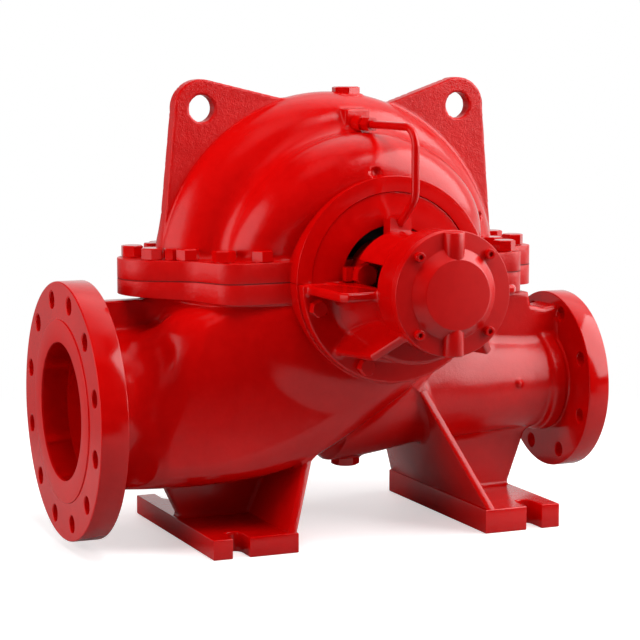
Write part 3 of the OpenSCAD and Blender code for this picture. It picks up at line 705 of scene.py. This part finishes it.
def connect(tree, item, slot):
    if isinstance(item, Value):
        tree.links.new(item.socket, slot)
    else:
        slot.default_value = item


class Paint:
    """Material under construction, with its coordinates and its main shader."""

    def __init__(self, name):
        self.material = bpy.data.materials.new(name)
        self.material.use_nodes = True
        self.tree = self.material.node_tree
        self.shader = self.tree.nodes["Principled BSDF"]
        coordinates = self.tree.nodes.new("ShaderNodeTexCoord")
        self.place = Value(self.tree, coordinates.outputs["Object"])

    def make(self, kind, output, **inputs):
        step = self.tree.nodes.new(kind)
        for name, item in inputs.items():
            connect(self.tree, item, step.inputs[name.replace("_", " ")])
        return Value(self.tree, step.outputs[output])

    def noise(self, scale, detail=2.0, roughness=0.5):
        return self.make(
            "ShaderNodeTexNoise", "Fac", Vector=self.place, Scale=scale, Detail=detail, Roughness=roughness,
        )

    def mix(self, factor, a, b):
        step = self.tree.nodes.new("ShaderNodeMix")
        step.data_type = "RGBA"
        connect(self.tree, factor, step.inputs[0])
        connect(self.tree, a, step.inputs[6])
        connect(self.tree, b, step.inputs[7])
        return Value(self.tree, step.outputs[2])

    def bump(self, height, distance, strength=1.0):
        normal = self.make("ShaderNodeBump", "Normal", Height=height, Distance=distance, Strength=strength)
        connect(self.tree, normal, self.shader.inputs["Normal"])

    def set(self, **inputs):
        for name, item in inputs.items():
            connect(self.tree, item, self.shader.inputs[name.replace("_", " ")])
        return self


RED_DEEP = (0.52, 0.0007, 0.0006, 1)
RED_BRIGHT = (0.61, 0.0018, 0.0015, 1)
# Squared distance from the volute's centre, in square metres, where the lugs' rougher paint sets in
LUG_PAINT = (0.0762, 0.0785)


def red_enamel(name, grain, dull, lugs=False):
    """Red machine enamel; grain is how deep the sand-cast texture shows, dull how rough the paint is."""
    paint = Paint(name)
    clouds = paint.noise(7, 3)
    mottle = paint.noise(60, 3, 0.6)
    tint = (clouds * 0.7 + mottle * 0.3).ramp(0.35, 0.65)
    colour = paint.mix(tint, RED_DEEP, RED_BRIGHT)
    sand = paint.noise(170, 4, 0.55) + paint.noise(480, 3, 0.6) * 0.9 + paint.noise(45, 2) * 1.6
    gloss = mottle * 0.08 + clouds * 0.05 + (dull - 0.06)
    if lugs:
        x = paint.place.along((1, 0, 0)) - VOLUTE_CENTRE[0] * MM
        z = paint.place.along((0, 0, 1)) - VOLUTE_CENTRE[1] * MM
        beyond = (x * x + z * z).ramp(*LUG_PAINT) * z.ramp(0.04, 0.05)
        paint.bump(sand * (beyond * LUG_GRAIN + grain), 0.001)
        gloss = gloss + beyond * LUG_DULL
    else:
        paint.bump(sand * grain, 0.001)
    paint.set(Base_Color=colour, Roughness=gloss.clamp(0.06, 0.7), IOR=1.45)
    paint.set(Coat_Weight=0.12, Coat_Roughness=0.05)
    return paint.material


def bare_metal(name, dark, light, roughness):
    paint = Paint(name)
    patch = paint.noise(40, 4, 0.6)
    scratch = paint.make("ShaderNodeTexWave", "Fac", Vector=paint.place, Scale=300, Distortion=3, Detail=2)
    colour = paint.mix(patch.ramp(0.3, 0.7), dark, light)
    paint.bump(scratch, 0.0002, 0.25)
    paint.set(Base_Color=colour, Roughness=(patch * 0.25 + roughness).clamp(0.1, 0.9), Metallic=1.0)
    return paint.material


def plain_stuff(name, dark, light, roughness, scale):
    paint = Paint(name)
    patch = paint.noise(scale, 4, 0.6)
    paint.bump(patch, 0.0006, 0.5)
    paint.set(Base_Color=paint.mix(patch.ramp(0.3, 0.7), dark, light))
    paint.set(Roughness=(patch * 0.2 + roughness).clamp(0.1, 1))
    return paint.material


CAST_RED = red_enamel("cast_red_enamel", 0.12, 0.14)
PIPE_RED = red_enamel("pipe_red_enamel", 0.28, 0.22)
UPPER_RED = red_enamel("upper_red_enamel", 0.22, 0.15, lugs=True)
ROUGH_RED = red_enamel("rough_red_enamel", 0.40, 0.30)
SATIN_RED = red_enamel("satin_red_enamel", 0.06, 0.30)
SMOOTH_RED = red_enamel("smooth_red_enamel", 0.04, 0.12)
STEEL = bare_metal("ground_steel", (0.42, 0.42, 0.43, 1), (0.60, 0.60, 0.61, 1), 0.22)
BRONZE = bare_metal("sleeve_bronze", (0.40, 0.25, 0.12, 1), (0.55, 0.38, 0.19, 1), 0.28)
RUBBER = plain_stuff("deflector_rubber", (0.010, 0.010, 0.011, 1), (0.030, 0.030, 0.030, 1), 0.55, 400)
# Near-black painted shade for the inside of the seal chambers, standing in for the shade in that deep recess
CHAMBER_PAINTED_SHADE = plain_stuff("seal_chamber_painted_shade", (0.006, 0.003, 0.003, 1), (0.016, 0.007, 0.006, 1), 0.5, 120)
GASKET = plain_stuff("parting_gasket", (0.16, 0.003, 0.003, 1), (0.26, 0.006, 0.005, 1), 0.5, 300)


# Castings

CASTING_STEP = 3.6
BRACKET_STEP = 2.4

# The lower casting is meshed in two pieces that overlap by two steps
LOWER_SPLIT = -40
OVERLAP = LOWER_SPLIT - 2 * CASTING_STEP

for name, shape, low, high, node, material in (
    ("suction_casting", lower_casting, (-428, -182, 20), (LOWER_SPLIT, 182, 379), "lower_casing", CAST_RED),
    ("discharge_casting", lower_casting, (OVERLAP, -182, 20), (366, 182, 379), "lower_casing", PIPE_RED),
    ("upper_casting", upper_casting, (-312, -182, 406), (268, 182, 694), "upper_casing", UPPER_RED),
):
    piece = add_piece(name, *surface(shape, low, high, CASTING_STEP))
    finish_piece(piece, material, "red_enamel", node)

bracket = surface(bracket_casting, (-158, -360, 236), (158, -164, 484), BRACKET_STEP)
for end, mirror in (("front", False), ("rear", True)):
    piece = add_piece(end + "_bracket_casting", *bracket, mirror=mirror)
    finish_piece(piece, CAST_RED, "red_enamel", end + "_bracket")


# Bearing covers

def bearing_cover(end, mirror):
    """Turned disc and hub, with two upright grease bosses across them."""
    inner = 0.0 if end == "front" else SHAFT_HOLE_R
    profile = softened([
        (HEAD_END + 0.3, COVER_R),
        (COVER_FACE, COVER_R),
        (COVER_FACE, HUB_FOOT_R),
        (HUB_FACE, HUB_R),
        (HUB_FACE, inner),
    ], 1.2, closed=False)
    piece = add_piece(end + "_bearing_cover_disc", *shaft_lathe(profile), angle=35, mirror=mirror)
    finish_piece(piece, SATIN_RED, "red_enamel", end + "_bearing_cover")
    for name, side in (("top", 1), ("bottom", -1)):
        face = COVER_FACE if mirror else -COVER_FACE
        place = Matrix.Translation(Vector((0, face, SHAFT_Z + side * BOSS_RISE)) * MM)
        boss = plate(end + "_cover_boss_" + name, [circle_points(0, 0, BOSS_R, 40)], BOSS_L, 1.5, place)
        finish_piece(boss, SATIN_RED, "red_enamel", end + "_bearing_cover")


bearing_cover("front", False)
bearing_cover("rear", True)


# Machined flanges

def nozzle_flange(name, nozzle):
    """Drilled flange with its raised face and the start of its bore."""
    sense = 1 if nozzle["face"] > 0 else -1
    face = nozzle["face"] - sense * RAISED_H
    loops = [circle_points(0, 0, nozzle["rim"], 160), circle_points(0, 0, nozzle["bore"], 128)]
    for i in range(nozzle["holes"]):
        angle = math.tau * (i + 0.5) / nozzle["holes"]
        centre = nozzle["pcd"] / 2 * math.sin(angle), nozzle["pcd"] / 2 * math.cos(angle)
        loops.append(circle_points(*centre, nozzle["hole"] / 2, 32))
    disc = plate(name, loops, abs(face - nozzle["back"]), 2.0, cross_place((face + nozzle["back"]) / 2))
    finish_piece(disc, SMOOTH_RED, "red_enamel")
    profile = softened([
        (face - sense * 3, nozzle["raised"]),
        (nozzle["face"], nozzle["raised"]),
        (nozzle["face"], nozzle["bore"]),
        (nozzle["back"], nozzle["bore"]),
    ], 1.2, closed=False)
    turned, around = lathe(profile)
    turned = [(d, u, PIPE_Z + v) for d, u, v in turned]
    if sense > 0:
        around = [f[::-1] for f in around]
    raised = add_piece(name + "_raised_face", turned, around, angle=35)
    finish_piece(raised, SATIN_RED, "red_enamel")


nozzle_flange("suction_flange", SUCTION)
nozzle_flange("discharge_flange", DISCHARGE)

for name, (low, high), node in (
    ("lower_parting_flange", LOWER_FLANGE, "lower_casing"),
    ("upper_parting_flange", UPPER_FLANGE, "upper_casing"),
):
    piece = plate(name, [belt(FLANGE_CIRCLES, steps=16)], high - low, 0.9, level_place((low + high) / 2))
    if node == "lower_casing":
        for vertex in piece.data.vertices:
            x, y, z = vertex.co / MM
            if z < (low + high) / 2:
                vertex.co.z += (flange_underside(x) - low) * MM
    finish_piece(piece, ROUGH_RED, "red_enamel", node)


# End rings and seal covers

for end, mirror in (("front", False), ("rear", True)):
    inner = SEAL_R + 0.6
    ring_profile = softened([
        (RING_FACE - 40, RING_R), (RING_FACE, RING_R), (RING_FACE, inner), (RING_FACE - 14, inner),
    ], 1.0, closed=False)
    for half, start, node in (("upper", 0.15, "upper_casing"), ("lower", 180.15, "lower_casing")):
        turned, around = shaft_lathe(ring_profile, 96, start, 179.7)
        piece = add_piece(end + "_" + half + "_end_ring", turned, around, angle=35, mirror=mirror)
        finish_piece(piece, SMOOTH_RED, "red_enamel", node)
    lip = SEAL_FACE - 6
    face_profile = softened([
        (SEAL_FACE - 19, SEAL_R), (SEAL_FACE, SEAL_R), (SEAL_FACE, SEAL_BORE_R), (lip, SEAL_BORE_R),
    ], 1.2, closed=False)
    piece = add_piece(end + "_seal_cover_face", *shaft_lathe(face_profile), angle=35, mirror=mirror)
    finish_piece(piece, SMOOTH_RED, "red_enamel", end + "_seal_cover")
    # The seal chamber's wall and floor carry the near-black painted shade of the recess
    chamber_profile = softened([
        (lip, SEAL_BORE_R), (SEAL_FLOOR, SEAL_BORE_R), (SEAL_FLOOR, 38),
    ], 4, closed=False)
    piece = add_piece(end + "_seal_chamber", *shaft_lathe(chamber_profile), angle=35, mirror=mirror)
    finish_piece(piece, CHAMBER_PAINTED_SHADE, "bare_steel", end + "_seal_cover")


# Foot plates

def foot_outline(side):
    """Foot plate with a slot open to the front and one to the rear."""
    half = SLOT_W / 2
    slot_x = side * SLOT_X
    base_y = FOOT_Y - SLOT_DEPTH + half
    edge = [(side * FOOT_INNER[side], FOOT_Y), (slot_x - side * half, FOOT_Y)]
    for k in range(SLOT_STEPS + 1):
        angle = math.pi * k / SLOT_STEPS
        edge.append((slot_x - side * half * math.cos(angle), base_y - half * math.sin(angle)))
    edge += [(slot_x + side * half, FOOT_Y), (side * FOOT_OUTER, FOOT_Y)]
    edge = softened(edge, 1.5, 2, closed=False)
    return edge + [(x, -y) for x, y in reversed(edge)]


def wall_face(name, side):
    """Leaning wall on a foot as a slab with small rounded edges."""
    form = bmesh.new()
    for z in (FOOT_TOP[side] - 2, WALL_TOP):
        face, half = wall_at(z, side)
        for x, y in ((face, -half), (face + FOOT_WALL, -half), (face + FOOT_WALL, half), (face, half)):
            form.verts.new(Vector((side * x, y, z)) * MM)
    form.verts.ensure_lookup_table()
    for ring in ((0, 1, 2, 3), (4, 5, 6, 7), (0, 1, 5, 4), (1, 2, 6, 5), (2, 3, 7, 6), (3, 0, 4, 7)):
        form.faces.new([form.verts[i] for i in ring])
    bmesh.ops.recalc_face_normals(form, faces=form.faces)
    bmesh.ops.bevel(form, geom=form.edges[:], offset=1.6 * MM, segments=3, profile=0.5, affect="EDGES")
    wall = head_object(name, form)
    bpy.context.collection.objects.link(wall)
    return wall


for name, side in (("suction_foot", -1), ("discharge_foot", 1)):
    piece = plate(name, [foot_outline(side)], FOOT_TOP[side], 2.0, level_place(FOOT_TOP[side] / 2))
    finish_piece(piece, CAST_RED, "red_enamel", "lower_casing")
    finish_piece(wall_face(name + "_wall", side), CAST_RED, "red_enamel", "lower_casing")


# Fasteners

def ring_verts(form, radius, z, sides):
    return [form.verts.new(Vector((u, v, z)) * MM) for u, v in circle_points(0, 0, radius, sides)]


def hex_head(name, flats, height, chamfer=2.2):
    """Hexagon head with a turned top edge and a washer face, standing on z = 0."""
    corner = flats / 2 / math.cos(math.pi / 6)
    form = bmesh.new()
    rows = []
    for z, radius, sides in (
        (0, flats / 2 * 0.97, 24),
        (1.2, flats / 2 * 0.97, 24),
        (1.2, corner, 6),
        (height - chamfer * 0.6, corner, 6),
        (height, flats / 2 * 0.94, 24),
    ):
        rows.append(ring_verts(form, radius, z, sides))
    for low, high in ((rows[0], rows[1]), (rows[2], rows[3])):
        for k in range(len(low)):
            form.faces.new((low[k - 1], low[k], high[k], high[k - 1]))
    for fine, coarse, flip in ((rows[1], rows[2], False), (rows[4], rows[3], True)):
        for k in range(6):
            ring = [fine[(4 * k + j) % 24] for j in range(5)]
            face = ring[::-1] + [coarse[k], coarse[(k + 1) % 6]]
            form.faces.new(face[::-1] if not flip else face)
    form.faces.new(rows[4])
    bmesh.ops.recalc_face_normals(form, faces=form.faces)
    return head_object(name, form)


def socket_head(name, radius, height, socket):
    """Cap screw head with a hexagon socket, standing on z = 0."""
    profile = softened([(0, radius), (height, radius), (height, socket * 1.12)], 0.9, closed=False)
    points, faces = lathe(profile, 24)
    points = [(u, v, d) for d, u, v in points]
    form = bmesh.new()
    verts = [form.verts.new(Vector(p) * MM) for p in points]
    for face in faces:
        form.faces.new([verts[i] for i in face])
    size = len(profile)
    rim = [verts[k * size + size - 1] for k in range(24)]
    well = [ring_verts(form, socket, z, 6) for z in (height - 0.2, height - 5)]
    for k in range(6):
        ring = [rim[(4 * k + j) % 24] for j in range(5)]
        form.faces.new(ring[::-1] + [well[0][k], well[0][(k + 1) % 6]])
        form.faces.new((well[0][k], well[0][(k + 1) % 6], well[1][(k + 1) % 6], well[1][k]))
    form.faces.new(well[1])
    bmesh.ops.recalc_face_normals(form, faces=form.faces)
    return head_object(name, form)


def fastener_nodes():
    """Node tree that sets a head on every point, its axis along facing and turned by spin."""
    tree = bpy.data.node_groups.new("fasteners", "GeometryNodeTree")
    for name, kind in (
        ("Geometry", "NodeSocketGeometry"),
        ("Head", "NodeSocketObject"),
        ("Material", "NodeSocketMaterial"),
    ):
        tree.interface.new_socket(name, in_out="INPUT", socket_type=kind)
    tree.interface.new_socket("Geometry", in_out="OUTPUT", socket_type="NodeSocketGeometry")
    start = tree.nodes.new("NodeGroupInput")
    end = tree.nodes.new("NodeGroupOutput")
    head = tree.nodes.new("GeometryNodeObjectInfo")
    copies = tree.nodes.new("GeometryNodeInstanceOnPoints")
    facing, spin = (tree.nodes.new("GeometryNodeInputNamedAttribute") for _ in range(2))
    for attribute, name in ((facing, "facing"), (spin, "spin")):
        attribute.data_type = "FLOAT_VECTOR"
        attribute.inputs["Name"].default_value = name
    align = tree.nodes.new("FunctionNodeAlignRotationToVector")
    align.axis = "Z"
    turn = tree.nodes.new("FunctionNodeRotateRotation")
    turn.rotation_space = "LOCAL"
    whole = tree.nodes.new("GeometryNodeRealizeInstances")
    paint = tree.nodes.new("GeometryNodeSetMaterial")
    for a, b in (
        (start.outputs["Geometry"], copies.inputs["Points"]),
        (start.outputs["Head"], head.inputs["Object"]),
        (head.outputs["Geometry"], copies.inputs["Instance"]),
        (facing.outputs["Attribute"], align.inputs["Vector"]),
        (align.outputs["Rotation"], turn.inputs["Rotation"]),
        (spin.outputs["Attribute"], turn.inputs["Rotate By"]),
        (turn.outputs["Rotation"], copies.inputs["Rotation"]),
        (copies.outputs["Instances"], whole.inputs["Geometry"]),
        (whole.outputs["Geometry"], paint.inputs["Geometry"]),
        (start.outputs["Material"], paint.inputs["Material"]),
        (paint.outputs["Geometry"], end.inputs["Geometry"]),
    ):
        tree.links.new(a, b)
    return tree


FASTENERS = fastener_nodes()


def fasten(name, head, material, places):
    """Piece with a head at each (point, facing) pair, each turned a little differently."""
    mesh = bpy.data.meshes.new(name + "_points")
    mesh.from_pydata([Vector(point) * MM for point, _ in places], [], [])
    facing = mesh.attributes.new("facing", "FLOAT_VECTOR", "POINT")
    spin = mesh.attributes.new("spin", "FLOAT_VECTOR", "POINT")
    for i, (_, way) in enumerate(places):
        facing.data[i].vector = way
        spin.data[i].vector = (0, 0, 0.35 + 0.83 * i % 1.05)
    source = bpy.data.objects.new(name, mesh)
    bpy.context.collection.objects.link(source)
    nodes = source.modifiers.new("fasteners", "NODES")
    nodes.node_group = FASTENERS
    sockets = FASTENERS.interface.items_tree
    inputs = {item.name: item.identifier for item in sockets if item.in_out == "INPUT"}
    nodes[inputs["Head"]] = head
    nodes[inputs["Material"]] = material
    made = bpy.data.meshes.new_from_object(source.evaluated_get(bpy.context.evaluated_depsgraph_get()))
    source.modifiers.clear()
    source.data = made
    made.name = name
    return finish_piece(source, material, "red_enamel")


BOLT = hex_head("parting_bolt", 30, 17)
NUT = hex_head("gland_nut", 32, 16)
JACK = hex_head("jack_screw", 20, 17)
COVER_SCREW = socket_head("cover_screw", 7.0, 8, 3.6)
BRACKET_SCREW = hex_head("bracket_screw", 23, 14)
PIPE_PLUG = hex_head("pipe_plug", 38, 17)

UP, DOWN = (0, 0, 1), (0, 0, -1)
SEAT = UPPER_FLANGE[1]
fasten("parting_bolts", BOLT, SMOOTH_RED, [((x, y, SEAT), UP) for x, y in NOSE_BOLTS] + [
    ((x, side * y, SEAT), UP) for x, y in PARTING_BOLTS for side in (-1, 1)
])
fasten("jack_screws", JACK, SMOOTH_RED, [
    ((JACK_SCREWS[0], side * JACK_SCREWS[1], SEAT), UP) for side in (-1, 1)
])
plug = fasten("vent_plug_hexagon", PIPE_PLUG, SMOOTH_RED, [((0, 0, VENT_PLUG_Z), UP)])
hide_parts("vent_plug")
plug = fasten("drain_plug_hexagon", PIPE_PLUG, SMOOTH_RED, [((0, 0, DRAIN_PLUG_Z), DOWN)])
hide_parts("drain_plug")
for end, side in (("front", -1), ("rear", 1)):
    way = (0, side, 0)
    diagonal = COVER_SCREW_R / math.sqrt(2)
    fasten(end + "_cover_screws", COVER_SCREW, SMOOTH_RED, [
        ((u * diagonal, side * COVER_FACE, SHAFT_Z + v * diagonal), way) for u in (-1, 1) for v in (-1, 1)
    ])
    screws = []
    for u, degrees in BRACKET_SCREWS:
        angle = math.radians(degrees)
        x, drop = u * BRACKET_SCREW_R * math.cos(angle), BRACKET_SCREW_R * math.sin(angle)
        screws.append(((x, side * BRACKET_Y[1], SHAFT_Z - drop), way))
    fasten(end + "_bracket_screws", BRACKET_SCREW, SMOOTH_RED, screws)
    fasten(end + "_gland_nuts", NUT, SMOOTH_RED, [
        ((u * GLAND_STUD[0], side * GLAND_NUT_Y, GLAND_STUD[1]), way) for u in (-1, 1)
    ])


# Solids that stay as they are, with a paint each

def paint_solid(node, material):
    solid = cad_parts[node]
    solid.data.materials.clear()
    solid.data.materials.append(material)


for node, material in (("parting_gasket", GASKET), ("shaft", STEEL), ("shaft_key", STEEL)):
    paint_solid(node, material)
for end in ("front_", "rear_"):
    for node, material in (("bearing", STEEL), ("sleeve", BRONZE), ("deflector", RUBBER)):
        paint_solid(end + node, material)
    for node in ("gland", "take_off", "flush_tube", "flush_elbow"):
        paint_solid(end + node, SMOOTH_RED)


# Floor, light and camera

# Directions of the pale areas that shiny faces mirror
RIGHT_WALL = (0.84, 0.47, 0.28)
LEFT_WALL = (-0.97, 0.14, 0.17)
BACK_WALL = (-0.44, 0.89, -0.13)
LIT_FLOOR = (0.95, -0.31, 0.0)
CEILING = (0.24, 0.24, 0.94)
SKY_FILL = 0.09
SKY_DIM = 0.01

# Floor, in metres and grey levels
FLOOR_HALF = 4
FLOOR_FADE = (1.35, 0.80)
FLOOR_GREY = (0.34, 0.34, 0.34, 1)
FLOOR_GLOW = (0.5, 0.5, 0.5, 1)

# Camera, in metres and millimetres of lens
CAMERA_PLACE = (-1.3605, -3.0628, 0.7487)
CAMERA_BACK = (-0.392, -0.9109, 0.1288)
CAMERA_LENS = 123.845
AIM = (0, 0, 0.35)


def floor():
    """Floor that is pale to the camera and fades into white, and grey to all other rays."""
    mesh = bpy.data.meshes.new("floor")
    corners = [(u * FLOOR_HALF, v * FLOOR_HALF, 0) for u, v in ((-1, -1), (1, -1), (1, 1), (-1, 1))]
    mesh.from_pydata(corners, [], [(0, 1, 2, 3)])
    piece = bpy.data.objects.new("floor", mesh)
    bpy.context.collection.objects.link(piece)
    paint = Paint("pale_floor")
    shade = paint.noise(3, 2)
    reach = paint.place.length()
    pale = paint.mix(shade, (0.80, 0.80, 0.80, 1), (0.84, 0.84, 0.84, 1))
    seen = paint.make("ShaderNodeLightPath", "Is Camera Ray")
    paint.set(Base_Color=paint.mix(seen, FLOOR_GREY, pale), Roughness=0.7)
    paint.set(Alpha=reach.ramp(*FLOOR_FADE))
    paint.set(Emission_Color=paint.mix(seen, (0, 0, 0, 1), FLOOR_GLOW), Emission_Strength=1.0)
    mesh.materials.append(paint.material)


def soft_light(name, place, size, power, mirrored=True):
    """Panel aimed at the middle of the pump; a fill panel doesn't show in the paint."""
    lamp = bpy.data.lights.new(name, "AREA")
    lamp.shape = "RECTANGLE"
    lamp.size, lamp.size_y = size
    lamp.energy = power
    light = bpy.data.objects.new(name, lamp)
    light.location = place
    light.rotation_euler = (Vector(AIM) - Vector(place)).to_track_quat("-Z", "Y").to_euler()
    light.visible_glossy = mirrored
    bpy.context.collection.objects.link(light)


def sky():
    """White to the camera, faint to matt faces; shiny faces mirror a few pale areas in a dark studio."""
    world = bpy.data.worlds.new("studio")
    world.use_nodes = True
    bpy.context.scene.world = world
    tree = world.node_tree
    way = Value(tree, tree.nodes.new("ShaderNodeTexCoord").outputs["Generated"])
    height = way.along((0, 0, 1))
    level = height.math("ABSOLUTE").ramp(0.26, 0.10)
    below = height.ramp(-0.02, -0.12)
    mirrored = way.along(RIGHT_WALL).ramp(0.35, 0.75) * 0.8
    mirrored = mirrored + way.along(CEILING).ramp(0.86, 0.96) * 0.55
    mirrored = mirrored + way.along(LEFT_WALL).ramp(0.86, 0.92) * 1.2
    mirrored = mirrored + way.along(BACK_WALL).ramp(0.75, 0.95) * level * 0.28
    mirrored = mirrored + way.along(LIT_FLOOR).ramp(0.60, 0.80) * below * 0.4 + SKY_DIM
    path = tree.nodes.new("ShaderNodeLightPath")
    shiny = Value(tree, path.outputs["Is Glossy Ray"])
    seen = Value(tree, path.outputs["Is Camera Ray"])
    strength = (mirrored - SKY_FILL) * shiny + SKY_FILL
    background = tree.nodes["Background"]
    connect(tree, strength.math("MAXIMUM", seen), background.inputs["Strength"])
    background.inputs["Color"].default_value = (1, 1, 1, 1)


def camera():
    lens = bpy.data.cameras.new("camera")
    lens.sensor_width = 36
    lens.lens = CAMERA_LENS
    view = bpy.data.objects.new("camera", lens)
    back = Vector(CAMERA_BACK).normalized()
    right = Vector((0, 0, 1)).cross(back).normalized()
    up = back.cross(right)
    turned = Matrix((right, up, back)).transposed().to_4x4()
    view.matrix_world = Matrix.Translation(CAMERA_PLACE) @ turned
    bpy.context.collection.objects.link(view)
    bpy.context.scene.camera = view


floor()
sky()
soft_light("key", (1.80, -1.10, 1.55), (2.5, 2.5), 80)
soft_light("left_fill", (-2.34, -0.20, 0.80), (2.0, 1.6), 44, mirrored=False)
soft_light("top_fill", (-0.30, -1.05, 2.90), (1.4, 1.4), 46, mirrored=False)
soft_light("rear_fill", (0.30, 2.40, 1.20), (2.0, 1.6), 25, mirrored=False)
camera()
bpy.context.scene.view_settings.view_transform = "Standard"
